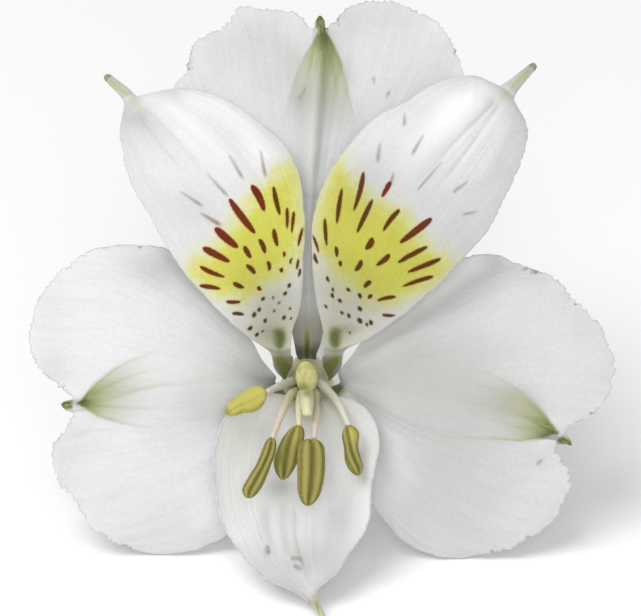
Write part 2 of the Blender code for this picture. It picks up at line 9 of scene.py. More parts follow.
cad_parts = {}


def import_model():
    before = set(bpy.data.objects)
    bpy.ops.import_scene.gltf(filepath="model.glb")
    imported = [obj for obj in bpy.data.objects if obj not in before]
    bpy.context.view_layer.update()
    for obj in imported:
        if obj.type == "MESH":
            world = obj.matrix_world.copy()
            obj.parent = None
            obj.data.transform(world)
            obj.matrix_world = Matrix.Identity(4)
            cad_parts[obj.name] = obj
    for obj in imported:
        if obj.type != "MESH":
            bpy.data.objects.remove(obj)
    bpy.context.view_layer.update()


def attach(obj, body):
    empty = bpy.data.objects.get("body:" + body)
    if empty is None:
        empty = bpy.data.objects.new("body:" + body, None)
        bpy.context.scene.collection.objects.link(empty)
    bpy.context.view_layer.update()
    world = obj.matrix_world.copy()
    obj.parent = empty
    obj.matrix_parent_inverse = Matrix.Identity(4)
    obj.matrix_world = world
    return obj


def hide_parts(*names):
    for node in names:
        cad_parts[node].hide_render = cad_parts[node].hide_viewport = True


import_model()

# ---------------------------------------------------------------- driving dimensions, mm unless said
DRAW = 0.12                 # mm to one unit of the drawing, at the depth W_REF
W_REF = 18.0
EYE = 600.0                 # distance from which the drawing was made, from W_REF
CX, CY = 307.0, 384.0       # the throat's centre on the drawing
AX, AY = 320.5, 308.0       # the drawing's own centre
TILT = math.radians(25.0)   # how far the flower's axis is raised from the surface
HEIGHT = 14.54              # the throat's centre above the surface
SHIFT_X = -1.7              # these two put the origin under the middle of the whole
SHIFT_Y = -40.68
TEPAL_THICK = 0.45
LEAF_THICK = 0.45
OVARY_LENGTH = 9.0
OVARY_RADIUS = 3.3
OVARY_TOP = -0.35           # the tepals stand on it, with a small gap
PEDICEL_RADIUS = 1.0
STEM_RADIUS = 1.9           # at the cut end
STEM_RADIUS_TOP = 1.5


# ---------------------------------------------------------------- the flower's own frame
# u runs to the flower's right, v up, and w out of its throat towards the viewer, in mm.
# Outlines are given as (x, y, w): x and y on the drawing of the flower seen from the front,
# with y down, and w the depth at that point.
def local(p):
    """A point of the drawing (x, y, w), or an array of them, in the flower's (u, v, w)."""
    p = np.asarray(p, float)
    k = (EYE + W_REF - p[..., 2]) / EYE
    u = ((AX - CX) + (p[..., 0] - AX) * k) * DRAW
    v = ((CY - AY) - (p[..., 1] - AY) * k) * DRAW
    return np.stack([u, v, p[..., 2]], axis=-1)


def smooth_curve(points, t, knots=None):
    """A smooth curve through points, read at t from 0 to 1. Its knots follow the chord length."""
    p = np.asarray(points, float)
    k = chord_knots(p) if knots is None else np.asarray(knots, float)
    k = (k - k[0]) / (k[-1] - k[0])
    h = np.diff(k)
    slope = np.diff(p, axis=0) / h[:, None]
    m = np.empty_like(p)
    m[1:-1] = (slope[:-1] * h[1:, None] + slope[1:] * h[:-1, None]) / (h[:-1] + h[1:])[:, None]
    m[0], m[-1] = slope[0], slope[-1]
    t = np.clip(np.asarray(t, float), 0, 1)
    i = np.clip(np.searchsorted(k, t, side="right") - 1, 0, len(h) - 1)
    s = ((t - k[i]) / h[i])[..., None]
    a, b = p[i], p[i + 1]
    ma, mb = m[i] * h[i][..., None], m[i + 1] * h[i][..., None]
    return (2 * s**3 - 3 * s**2 + 1) * a + (s**3 - 2 * s**2 + s) * ma + (-2 * s**3 + 3 * s**2) * b + (s**3 - s**2) * mb


def chord_knots(p):
    """How far along a line each of its points lies. On the drawing, depth doesn't count."""
    flat = p[:, :2] if p.shape[1] > 1 else p
    return np.concatenate([[0], np.cumsum(np.maximum(np.linalg.norm(np.diff(flat, axis=0), axis=1), 1e-6))])


def smooth_step(x):
    x = np.clip(x, 0, 1)
    return x * x * (3 - 2 * x)


# How far an upper inner tepal stands out of the frame that its edges span, at shares of its length.
INNER_RISE = [(0, 0), (0.1, 0.9), (0.25, 2.3), (0.4, 3.6), (0.6, 4.6), (0.75, 3.6), (0.86, 1.1), (0.93, 0.45), (1, 0.2)]
# Each tepal: the ring angle and radius where its claw leaves the ovary, and the claw's half width there;
# the claw's middle (u, v, w) and half width; the claw's end from side a over the middle to side b;
# side a and side b from the claw's end outwards; and the margin between them. An outer tepal's tip is a
# short point in a notch of its margin, given by the indices where it begins, is and ends. An inner
# tepal's tip is drawn out beyond a neck, given by its index in side a and in side b.
TEPALS = {
    "outer_tepal_top": dict(
        ring=(90, 2.8, 1.1), mid=((-0.1, 3.55, 6.0), 1.25),
        claw_end=[(293.8, 341, 11.0), (307.5, 338, 11.2), (321.2, 341, 11.0)],
        side_a=[(293.8, 341, 11.0), (287, 311, 13.0), (272, 270, 14.2), (244, 220, 14.8), (212, 167, 14.0), (184, 120, 12.5), (171.5, 89.5, 11.4)],
        side_b=[(321.2, 341, 11.0), (328.5, 311, 13.0), (345, 270, 14.2), (375, 215, 14.8), (415, 160, 14.0), (448, 115, 12.6), (465, 78, 11.6)],
        margin=[(171.5, 89.5, 11.4), (178, 79.5, 11.2), (185, 74, 11.0), (188, 61, 10.8), (200, 40, 10.3), (224, 24, 10.0), (239, 9.5, 9.8), (262, 9, 10.0), (285, 11, 10.4),
                (300, 17, 11.2), (314, 28.5, 12.2), (316.5, 20, 13.4), (320, 15.5, 14.2), (324, 19.5, 13.4), (325.5, 28, 12.2), (333, 24, 11.6), (345, 11, 10.8),
                (365, 2.5, 10.2), (389, 1.5, 9.8), (416, 12.5, 9.8), (440, 24, 10.0), (453, 41, 10.4), (460, 60, 10.9), (465, 78, 11.6)],
        tip=(8, 10, 12), rise=[(0, 0), (0.1, 0.6), (0.25, 0.8), (0.4, 0.9), (0.6, 1.0), (0.8, 0.9), (0.9, 0.4), (1, 0)], side_rise=0.9),
    "outer_tepal_left": dict(
        ring=(210, 3.0, 1.1), mid=((-3.55, -1.3, 5.0), 1.6),
        claw_end=[(275, 375, 8.6), (269, 386, 8.0), (278, 400, 8.2)],
        side_a=[(275, 375, 8.6), (262, 359.5, 10.1), (251, 338, 11.0), (228, 305, 11.6), (200, 272, 12.0), (172, 250, 12.1), (146, 245, 12.3), (118, 243.5, 12.5)],
        side_b=[(278, 400, 8.2), (281, 435, 9.8), (270, 478, 10.8), (250, 512, 11.1), (228, 533.5, 10.9), (200, 547.5, 10.5), (162, 554.5, 10.3)],
        margin=[(118, 243.5, 12.5), (90, 249.5, 12.0), (66, 266, 12.0), (47, 286, 12.0), (33, 310, 12.5), (28.5, 330, 13.0), (32, 355, 13.5),
                (46, 373.5, 14.0), (60, 386, 14.5), (72.5, 398.5, 15.0), (66.5, 399.5, 13.8), (61.5, 404.5, 13.0), (66, 410.5, 13.8), (74, 413.5, 15.0), (71.5, 421, 14.8),
                (62, 434, 14.2), (52, 456, 13.5), (58, 481, 13.0), (74, 501, 12.6), (92, 527, 11.8), (118, 544, 11.1), (140, 552.5, 10.6), (162, 554.5, 10.3)],
        tip=(9, 11, 13), rise=[(0, 0), (0.15, 3.1), (0.3, 5.0), (0.5, 5.2), (0.7, 4.0), (0.85, 2.2), (1, 0)], side_rise=0.8),
    "outer_tepal_right": dict(
        ring=(330, 3.0, 1.1), mid=((3.65, -1.3, 5.0), 1.6),
        claw_end=[(337, 399, 8.2), (346, 385, 8.0), (339, 371, 8.6)],
        side_a=[(337, 399, 8.2), (341, 432, 9.8), (351, 470, 11.0), (364, 498, 11.6), (386, 521, 11.7), (412, 545, 11.5), (436, 555, 11.4), (460, 558.5, 11.3)],
        side_b=[(339, 371, 8.6), (352, 355.5, 10.1), (365, 338, 11.0), (390, 318, 11.6), (420, 292, 12.0), (448, 266, 12.1), (472, 254.5, 12.3), (500, 255.5, 12.5)],
        margin=[(460, 558.5, 11.3), (488, 554, 11.5), (513, 544, 12.0), (538, 533, 12.4), (552, 520, 12.6), (564, 501, 13.0), (568, 487, 13.3),
                (566, 468, 14.0), (558, 450, 14.8), (557.5, 441.5, 15.0), (563.5, 445.5, 13.8), (570, 444.5, 13.0), (570.5, 438, 13.6), (564.5, 430.5, 15.0), (584, 418, 14.5),
                (603, 404, 13.9), (611, 388, 13.5), (613.5, 366, 13.2), (609, 345, 12.8), (596, 320.5, 12.3), (575, 297, 12.0), (551, 277, 12.0), (526, 267, 12.0), (500, 255.5, 12.5)],
        tip=(9, 11, 13), rise=[(0, 0), (0.15, 3.1), (0.3, 5.0), (0.5, 5.2), (0.7, 4.0), (0.85, 2.2), (1, 0)], side_rise=0.8),
    "inner_tepal_upper_left": dict(
        ring=(157, 2.5, 0.95), mid=((-2.85, 2.4, 7.0), 1.6),
        claw_end=[(267.5, 349.5, 13.0), (280, 347, 12.2), (291, 351, 13.0)],
        side_a=[(267.5, 349.5, 13.0), (256, 342.5, 14.6), (240, 330.5, 16.0), (212, 304, 17.5), (183, 273, 18.5), (160, 236, 19.0), (144, 208, 19.2), (131, 181, 19.2), (123, 155, 19.0), (119.5, 134, 18.6),
                (121, 120, 18.2), (124.5, 109, 17.8), (126, 101.5, 17.4), (120.5, 95, 16.9), (112, 87.5, 16.0), (105, 80.5, 15.2)],
        side_b=[(291, 351, 13.0), (291, 336, 14.6), (297, 318, 16.0), (301.5, 300, 17.3), (302.5, 275, 18.5), (302.5, 245, 19.3), (303.5, 212, 19.8), (301.5, 182, 20.0), (294, 159, 20.0), (280, 141.5, 20.0),
                (258, 123, 19.8), (235, 106.5, 19.5), (208, 94, 19.0), (183, 87, 18.7), (165, 88.5, 18.4), (150, 94, 18.0), (140.5, 99, 17.4), (130, 90.5, 16.9), (120, 82, 16.0), (111, 75, 15.2)],
        margin=[(105, 80.5, 15.2), (103.8, 77.5, 14.9), (105.5, 75, 14.8), (108, 74, 14.9), (111, 75, 15.2)],
        neck=(12, 16), rise=INNER_RISE, side_rise=0.0),
    "inner_tepal_upper_right": dict(
        ring=(23, 2.5, 0.95), mid=((2.95, 2.4, 7.0), 1.6),
        claw_end=[(324, 350.5, 13.0), (336, 346.5, 12.2), (348, 347.5, 13.0)],
        side_a=[(324, 350.5, 13.0), (324, 336, 14.6), (318.5, 312, 16.6), (314, 284, 18.2), (312, 254, 19.2), (311.5, 236, 19.5), (313, 218, 19.8), (317, 203, 19.9), (324, 186, 20.0), (333, 168, 20.0), (344, 150, 20.0),
                (361, 130.5, 19.8), (379, 115, 19.6), (396, 106.5, 19.4), (416, 93, 19.2), (438, 82.5, 19.0), (461, 77, 18.7), (479, 77, 18.4), (490, 82.5, 18.0), (498, 89, 17.4), (507, 82, 16.9), (519, 72, 16.0), (530, 63.5, 15.2)],
        side_b=[(348, 347.5, 13.0), (363, 341.5, 14.6), (384, 328.5, 16.0), (400, 317, 16.9), (419, 302, 17.6), (437, 286, 18.2), (458, 263, 18.8), (479, 241, 19.0), (496, 218, 19.2), (507, 192, 19.2), (517, 173, 19.2),
                (525, 153, 19.0), (528, 138, 18.8), (526.5, 125, 18.4), (522, 113, 18.1), (517, 106, 17.8), (512, 98.5, 17.4), (519, 89, 16.9), (528, 79, 16.0), (536, 70, 15.2)],
        margin=[(530, 63.5, 15.2), (533.5, 62.5, 14.8), (536, 65, 14.8), (537, 67.5, 14.9), (536, 70, 15.2)],
        neck=(19, 16), rise=INNER_RISE, side_rise=0.0),
    "inner_tepal_lower": dict(
        ring=(270, 2.6, 0.95), mid=((0.0, -2.95, 3.9), 1.2),
        claw_end=[(293.5, 402, 8.0), (307, 407, 6.8), (320.5, 402, 8.0)],
        side_a=[(293.5, 402, 8.0), (276, 393.5, 12.4), (256, 395.5, 14.8), (237, 405, 17.0), (223, 421, 18.5), (216, 445, 19.3), (214.5, 468, 19.8), (216.5, 490, 20.0), (221, 515, 20.3), (229.5, 535, 20.8), (243, 557, 21.6),
                (259, 573, 22.4), (276, 583.5, 23.2), (291, 590, 23.9), (303, 596, 24.4), (311, 600.5, 24.9), (316.5, 608, 25.4), (320, 617, 25.8)],
        side_b=[(320.5, 402, 8.0), (333, 396.5, 11.8), (346, 398.5, 14.2), (358, 403, 16.4), (369, 412.5, 18.0), (377, 428, 19.0), (379.5, 446, 19.6), (376, 463, 19.9), (370.5, 478, 20.0), (369, 493, 20.1), (369.5, 512, 20.4), (366, 530, 20.9),
                (358.5, 542, 21.4), (350, 554, 22.0), (340, 570.5, 23.0), (327, 580.5, 23.8), (316.5, 588.5, 24.4), (318, 597.5, 24.9), (321.5, 608, 25.4), (325.5, 617, 25.8)],
        margin=[(320, 617, 25.8), (321.5, 621, 26.0), (323.5, 622.5, 26.0), (325.5, 620.5, 26.0), (325.5, 617, 25.8)],
        neck=(14, 16), rise=[(0, 0), (0.1, -2.6), (0.25, -5.2), (0.4, -5.4), (0.6, -4.0), (0.75, -2.4), (0.86, -0.9), (0.93, 0.3), (1, 0.15)], side_rise=0.0),
}
NECK = 0.86                 # the share of a blade's length at which a drawn-out tip begins
TIP_FROM = 0.78             # the share of a blade's length at which its tip begins to form
ROWS = (0.0, 0.05, 0.1, 0.16, 0.23, 0.31, 0.39, 0.47, 0.55, 0.63, 0.7, 0.76, 0.8, 0.835, 0.86, 0.885, 0.92, 0.96, 1.0)


def table(pairs, t):
    """Values at t of a smooth graph through (t, value) pairs."""
    return smooth_curve([[b] for _, b in pairs], t, knots=[a for a, _ in pairs])[..., 0]


def side_knots(points, neck):
    """How far along a side its points lie, with the neck at the same share on both sides."""
    k = chord_knots(np.asarray(points, float))
    return np.where(k <= k[neck], NECK * k / k[neck], NECK + (1 - NECK) * (k - k[neck]) / (k[-1] - k[neck]))


def blade(spec, r, v):
    """The blade's surface on the drawing: r from the claw's end to the margin, v from side a to side b."""
    margin = np.asarray(spec["margin"], float)
    foot = smooth_curve(spec["claw_end"], v)
    if "neck" in spec:
        edge, point = smooth_curve(margin, v), 0.0
        a, b = (smooth_curve(spec[side], r, side_knots(spec[side], neck)) for side, neck in zip(("side_a", "side_b"), spec["neck"]))
    else:
        knots = chord_knots(margin)
        lo, tip, hi = spec["tip"]
        cut = knots[tip] / knots[-1]
        t = np.where(v < 0.5, 2 * v * cut, cut + (2 * v - 1) * (1 - cut))
        # The same margin with its tip cut off in a low arch.
        blunt = margin.copy()
        for i in range(lo + 1, hi):
            s = (knots[i] - knots[lo]) / (knots[hi] - knots[lo])
            blunt[i] = margin[lo] + (margin[hi] - margin[lo]) * s + (margin[tip] - (margin[lo] + margin[hi]) / 2) * 0.5 * s * (1 - s)
        edge = smooth_curve(blunt, t, knots)
        point = smooth_curve(margin, t, knots) - edge
        a, b = smooth_curve(spec["side_a"], r), smooth_curve(spec["side_b"], r)
    a0, b0, a1, b1 = (np.array(spec[s][i], float) for i in (0, -1) for s in ("side_a", "side_b"))
    r, v = r[..., None], v[..., None]
    flat = (1 - v) * a + v * b + (1 - r) * foot + r * edge - ((1 - r) * ((1 - v) * a0 + v * b0) + r * ((1 - v) * a1 + v * b1))
    flat = flat + point * smooth_step((r - TIP_FROM) / (1 - TIP_FROM))
    r, v = r[..., 0], v[..., 0]
    across = np.sin(math.pi * v)
    flat[..., 2] += table(spec["rise"], r) * across**0.85
    flat[..., 2] += spec["side_rise"] * np.sin(2 * math.pi * v) ** 2 * np.sin(math.pi * np.clip(r, 0, 1))
    return flat


def tepal(name, u, v):
    """Points of a tepal in the flower's frame: u from its foot on the ovary to its margin, v from side a to side b."""
    spec = TEPALS[name]
    u, v = np.asarray(u, float), np.asarray(v, float)
    angle, radius, half = spec["ring"]
    a = math.radians(angle)
    out, along = np.array([math.cos(a), math.sin(a), 0]), np.array([-math.sin(a), math.cos(a), 0])
    ends = local(np.array(spec["claw_end"], float))
    if np.dot(ends[2] - ends[0], along) < 0:
        along = -along
    s = (2 * v - 1)[:, None]
    bow = 1 - s * s
    foot = out * radius + along * half * s + out * 0.35 * bow
    middle, wide = spec["mid"]
    across = ends[2] - ends[0]
    across[2] = 0
    across = across / np.linalg.norm(across) * 0.5 + along * 0.5
    away = np.array([middle[0], middle[1], 0]) / math.hypot(middle[0], middle[1])
    mid = np.array(middle) + across * wide * s + away * 0.75 * bow
    rows = np.array([foot, mid] + [local(blade(spec, np.full(len(v), r), v)) for r in ROWS])
    step = np.linalg.norm(np.diff(rows, axis=0), axis=2).mean(axis=1)
    k = np.concatenate([[0], np.cumsum(step)])
    flat = smooth_curve(rows.reshape(len(rows), -1), u, k)
    return flat.reshape(len(u), len(v), 3)


# Filaments: points (x, y, w), then the radius at the foot and at the end.
FILAMENTS = {
    "filament_1": ([(298.5, 381, 0.6), (294, 381, 8), (284, 384.5, 14), (275, 388, 17.2), (269, 391, 18.6)], 0.44, 0.38),
    "filament_2": ([(299, 390.5, 0.6), (295, 391, 9.0), (288.5, 398.5, 16.2), (281, 415, 20.9), (274, 433.5, 22.6)], 0.44, 0.36),
    "filament_3": ([(306, 395.8, 0.6), (303.8, 393, 8.2), (300, 399, 15.0), (299, 411, 19.0), (299, 421.5, 20.2)], 0.44, 0.36),
    "filament_4": ([(314.5, 390.5, 0.6), (315, 391, 8.6), (315.5, 400.5, 15.6), (316, 418, 20.4), (314.5, 434.5, 22.6)], 0.44, 0.36),
    "filament_5": ([(315, 381, 0.6), (318.5, 383, 8), (327, 390, 14), (339, 405, 18), (347, 421.5, 19.8)], 0.44, 0.38),
    "filament_6": ([(307, 373.5, 0.6), (307, 371, 8), (306.5, 371, 14), (306.5, 373.5, 19.0)], 0.44, 0.4),
}
STYLE = [(307, 384, 0.6), (307, 385, 6), (306.5, 389, 12), (306.5, 397, 18.0), (307, 406, 21.4), (307.5, 414.5, 22.8)]
STYLE_RADIUS = 0.36
# Anthers: the two edges on the drawing from the foot to the free end, the depth w of the middle at the
# foot and at the end, the thickness, and where the groove runs across the face at the foot and at the
# end, from -1 at edge a to 1 at edge b.
ANTHERS = {
    "anther_1": dict(a=[(266, 387.5), (258, 385.5), (246, 389.5), (236, 397), (228.5, 403), (224.5, 408)],
                     b=[(266.5, 399), (262, 406.5), (252, 412.5), (241, 414), (234, 416), (227, 417)], w=(19.0, 20.4), thick=2.1, groove=(0.1, 0.2)),
    "anther_2": dict(a=[(266.5, 437), (262, 450), (255.5, 465), (247.5, 478.5), (242, 490), (243, 498.5)],
                     b=[(277, 437), (276, 450), (271.8, 464), (267, 476), (261.5, 488), (254.5, 498.5)], w=(22.7, 22.9), thick=1.6, groove=(0.2, -0.15)),
    "anther_3": dict(a=[(291.5, 425.5), (284, 436), (277.5, 448), (274, 458), (274.8, 470), (278.5, 479.5)],
                     b=[(304.5, 425), (304.5, 436), (301.5, 449), (298, 461), (292.5, 472), (286.5, 480.5)], w=(20.5, 20.3), thick=1.9, groove=(-0.5, 0.25)),
    "anther_4": dict(a=[(299, 438.5), (297.3, 450), (297, 465), (297, 480), (298, 493), (302, 506)],
                     b=[(322.5, 438.5), (324.5, 450), (325, 465), (323.5, 480), (320.5, 493), (314, 506)], w=(23.2, 23.6), thick=2.2, groove=(0.15, 0.1)),
    "anther_5": dict(a=[(343.5, 425), (342, 436), (343.5, 446), (344, 455), (346.5, 465), (353, 475.5)],
                     b=[(355, 425), (359, 433), (358.5, 445), (360.5, 456), (363, 467), (362, 475.5)], w=(20.0, 20.6), thick=1.8, groove=(-0.6, 0.6)),
    "anther_6": dict(a=[(300, 362.5), (296.5, 369), (295.5, 376), (296.5, 383), (299, 390)],
                     b=[(312, 362.5), (316, 369), (317.5, 376), (317, 383), (314, 390)], w=(20.6, 21.8), thick=2.3, groove=(0.0, 0.0)),
}


def anther_frame(spec, t):
    """An anther's middle at shares t of its length, the way to edge b and the way out of its face, each as
    long as the body is there, and the groove's angle, from edge b round towards the face."""
    t = np.asarray(t, float)
    w = spec["w"][0] + (spec["w"][1] - spec["w"][0]) * t
    edges = []
    for key in ("a", "b"):
        p = smooth_curve(spec[key], t)
        edges.append(local(np.concatenate([p, w[:, None]], axis=1)))
    near, far = (smooth_curve(spec[key], np.array([0.0, 1.0])) for key in ("a", "b"))
    ends = (near + far) / 2
    axis = local(np.array([*ends[1], spec["w"][1]])) - local(np.array([*ends[0], spec["w"][0]]))
    axis /= np.linalg.norm(axis)
    blunt = np.maximum(0.0, 1 - np.abs(2 * t - 1) ** 10) ** 0.5
    side = (edges[1] - edges[0]) / 2 * blunt[:, None]
    face = np.cross(axis, side)
    face *= np.where(face[:, 2:] < 0, -1, 1)
    face *= (spec["thick"] / 2 * blunt / np.maximum(np.linalg.norm(face, axis=1), 1e-9))[:, None]
    groove = np.arccos(np.clip(spec["groove"][0] + (spec["groove"][1] - spec["groove"][0]) * t, -1, 1))
    return (edges[0] + edges[1]) / 2, side, face, groove


# The pedicel, the stem and the leaves, in mm from the throat's foot on the surface: x right, y back, z up.
PEDICEL = [(0.0, 8.75, 10.65), (0.0, 14, 8.35), (0.05, 21, 6.1), (0.1, 29, 4.7), (0.15, 37, 4.0), (0.3, 44.2, 3.75)]
STEM = [(0.33, 45.0, 3.72), (0.9, 56, 3.5), (1.6, 70, 3.0), (2.4, 85, 2.3), (3.3, 100, 1.95), (4.3, 117, 1.92)]
# Leaves: the midrib's points, the width, and the turn of the blade at its foot and its end, in degrees.
LEAVES = {
    "leaf_1": ([(-0.9, 49.0, 5.6), (-2.9, 54, 8.6), (-6.5, 63, 10.6), (-10.5, 74, 9.6), (-13.0, 84, 6.0), (-14.2, 91, 1.6)], 8.5, (70, 12)),
    "leaf_2": ([(3.35, 58.5, 4.6), (6.4, 63, 7.2), (11.0, 71, 9.6), (14.0, 81, 10.0), (15.6, 91, 7.4), (16.0, 99, 3.2)], 8.0, (-60, -10)),
    "leaf_3": ([(0.3, 79.0, 3.95), (-2.8, 83, 5.7), (-5.6, 90, 7.6), (-7.4, 98, 7.4), (-8.0, 105.5, 5.0)], 5.5, (60, 15)),
}


def leaf_surface(spec):
    line, width, (turn_foot, turn_end) = spec

    def surface(us, vs):
        t = np.asarray(us)
        mid = smooth_curve(line, t, chord_3d(line))
        ahead = np.gradient(mid, axis=0)
        ahead /= np.linalg.norm(ahead, axis=1)[:, None]
        side = np.cross(ahead, [0, 0, 1.0])
        side /= np.linalg.norm(side, axis=1)[:, None]
        up = np.cross(side, ahead)
        turn = np.radians(turn_end + (turn_foot - turn_end) * (1 - smooth_step(t / 0.35)))
        across = side * np.cos(turn)[:, None] + up * np.sin(turn)[:, None]
        normal = np.cross(across, ahead)
        half = width / 2 * table([(0, 0.24), (0.1, 0.26), (0.25, 0.62), (0.45, 1.0), (0.7, 0.86), (0.88, 0.45), (1, 0.07)], t)
        s = 2 * np.asarray(vs) - 1
        lift = 0.16 * half[:, None] * np.abs(s[None, :]) ** 1.5
        return mid[:, None] + across[:, None] * (half[:, None] * s[None, :])[..., None] + normal[:, None] * lift[..., None]

    return surface


def chord_3d(points):
    p = np.asarray(points, float)
    return np.concatenate([[0], np.cumsum(np.linalg.norm(np.diff(p, axis=0), axis=1))])


# ---------------------------------------------------------------- small tools
def hash01(i, seed):
    """A fixed pseudo-random number from 0 to 1 for each whole number."""
    s = np.sin(np.asarray(i, float) * 12.9898 + seed * 78.233) * 43758.5453
    return s - np.floor(s)


def noise1(x, seed=0):
    """Smooth noise along a line, from -1 to 1."""
    x = np.asarray(x, float)
    i = np.floor(x)
    f = smooth_step(x - i)
    return 2 * (hash01(i, seed) * (1 - f) + hash01(i + 1, seed) * f) - 1


def noise2(x, y, seed=0):
    """Smooth noise over a plane, from -1 to 1."""
    x, y = np.asarray(x, float), np.asarray(y, float)
    i, j = np.floor(x), np.floor(y)
    fx, fy = smooth_step(x - i), smooth_step(y - j)
    h = lambda a, b: hash01(a + 57.0 * b, seed)
    top = h(i, j) * (1 - fx) + h(i + 1, j) * fx
    low = h(i, j + 1) * (1 - fx) + h(i + 1, j + 1) * fx
    return 2 * (top * (1 - fy) + low * fy) - 1


def drawn(q):
    """Where a point of the flower's frame lies on the drawing: local() turned round."""
    k = (EYE + W_REF - q[..., 2]) / EYE
    x = (q[..., 0] / DRAW - (AX - CX)) / k + AX
    y = ((CY - AY) - q[..., 1] / DRAW) / k + AY
    return x, y


def world(q):
    """Points of the flower's frame, in mm, in the part's frame, in metres."""
    q = np.asarray(q, float)
    c, s = math.cos(TILT), math.sin(TILT)
    x = q[..., 0] + SHIFT_X
    y = -q[..., 2] * c + q[..., 1] * s + SHIFT_Y
    z = q[..., 2] * s + q[..., 1] * c + HEIGHT
    return np.stack([x, y, z], axis=-1) * 0.001


def on_ground(q):
    """Points given from the throat's foot on the surface, in mm, in the part's frame, in metres."""
    return (np.asarray(q, float) + np.array([SHIFT_X, SHIFT_Y, 0.0])) * 0.001


def normals_of(p):
    du, dv = np.gradient(p, axis=0), np.gradient(p, axis=1)
    n = np.cross(du, dv)
    size = np.linalg.norm(n, axis=2, keepdims=True)
    return n / np.maximum(size, 1e-9)


def to_line(x, y, line):
    """Distance from each point to a polyline on the drawing, and the share of its length that is nearest."""
    line = np.asarray(line, float)
    best = np.full(np.shape(x), 1e9)
    share = np.zeros(np.shape(x))
    lengths = np.linalg.norm(np.diff(line, axis=0), axis=1)
    total, run = lengths.sum(), 0.0
    for (ax, ay), (bx, by), size in zip(line[:-1], line[1:], lengths):
        t = np.clip(((x - ax) * (bx - ax) + (y - ay) * (by - ay)) / max(size * size, 1e-9), 0, 1)
        d = np.hypot(x - ax - t * (bx - ax), y - ay - t * (by - ay))
        nearer = d < best
        best = np.where(nearer, d, best)
        share = np.where(nearer, (run + t * size) / total, share)
        run += size
    return best, share


def inside(x, y, ring):
    """Signed distance to a closed outline on the drawing, above zero inside it."""
    ring = list(ring) + [ring[0]]
    d, _ = to_line(x, y, ring)
    odd = np.zeros(np.shape(x), bool)
    for (ax, ay), (bx, by) in zip(ring[:-1], ring[1:]):
        cross = (ay > y) != (by > y)
        odd ^= cross & (x < (bx - ax) * (y - ay) / ((by - ay) if by != ay else 1e-9) + ax)
    return np.where(odd, d, -d)


def mesh_object(name, points, faces, attributes=None, sharp=45.0):
    """A mesh from points in metres and quads or triangles, smooth, with float attributes on its points."""
    mesh = bpy.data.meshes.new(name)
    points = np.asarray(points, np.float32).reshape(-1, 3)
    mesh.vertices.add(len(points))
    mesh.vertices.foreach_set("co", points.ravel())
    sizes = [f.shape[1] for f in faces]
    total = sum(len(f) for f in faces)
    mesh.loops.add(sum(f.size for f in faces))
    mesh.loops.foreach_set("vertex_index", np.concatenate([f.ravel() for f in faces]).astype(np.int32))
    mesh.polygons.add(total)
    counts = np.concatenate([np.full(len(f), n, np.int32) for f, n in zip(faces, sizes)])
    mesh.polygons.foreach_set("loop_start", np.concatenate([[0], np.cumsum(counts)[:-1]]).astype(np.int32))
    mesh.update(calc_edges=True)
    mesh.validate()
    mesh.shade_smooth()
    mesh.set_sharp_from_angle(angle=math.radians(sharp))
    for key, values in (attributes or {}).items():
        values = np.asarray(values, np.float32)
        if values.ndim == 1:
            layer = mesh.attributes.new(key, "FLOAT", "POINT")
            layer.data.foreach_set("value", values)
        else:
            layer = mesh.attributes.new(key, "FLOAT_VECTOR", "POINT")
            layer.data.foreach_set("vector", values.ravel())
    obj = bpy.data.objects.new(name, mesh)
    bpy.context.scene.collection.objects.link(obj)
    return obj


def grid_faces(nu, nv, start=0, flip=False):
    i, j = np.meshgrid(np.arange(nu - 1), np.arange(nv - 1), indexing="ij")
    a = start + i * nv + j
    quads = np.stack([a, a + nv, a + nv + 1, a + 1], axis=-1).reshape(-1, 4)
    return quads[:, ::-1] if flip else quads


def outline_indices(nu, nv):
    """The grid's border, once round."""
    return np.concatenate([
        np.arange(nu) * nv,
        (nu - 1) * nv + np.arange(1, nv),
        np.arange(nu - 2, -1, -1) * nv + nv - 1,
        np.arange(nv - 2, 0, -1),
    ])


def shell(name, p, thick, attributes, place, facing=(0, 0, 1.0)):
    """A thin closed sheet about the grid p, thick apart, half as fine on its back. Attributes are (nu, nv)
    grids with odd nu and nv; 'back' is added."""
    nu, nv = p.shape[:2]
    n = normals_of(p)
    if (n @ np.asarray(facing)).mean() < 0:
        p, thick = p[:, ::-1], thick[:, ::-1]
        attributes = {k: a[:, ::-1] for k, a in attributes.items()}
        n = normals_of(p)
    half = (thick / 2)[..., None]
    front, back = p + n * half, (p - n * half)[::2, ::2]
    mu, mv = back.shape[:2]
    outer, inner = outline_indices(nu, nv), nu * nv + outline_indices(mu, mv)
    # Each step of the back's outline meets two of the front's.
    a, b, c = outer[0::2], outer[1::2], np.roll(outer, -2)[0::2]
    d, e = inner, np.roll(inner, -1)
    rim = np.concatenate([np.stack(t, axis=-1) for t in ((a, d, b), (b, d, e), (b, e, c))])
    quads = np.concatenate([grid_faces(nu, nv), grid_faces(mu, mv, nu * nv, True)])
    points = place(np.concatenate([front.reshape(-1, 3), back.reshape(-1, 3)]))
    values = {k: np.concatenate([v.reshape((nu * nv,) + v.shape[2:]), v[::2, ::2].reshape((mu * mv,) + v.shape[2:])]) for k, v in attributes.items()}
    values["back"] = np.concatenate([np.zeros(nu * nv), np.ones(mu * mv)])
    return mesh_object(name, points, [quads, rim], values)


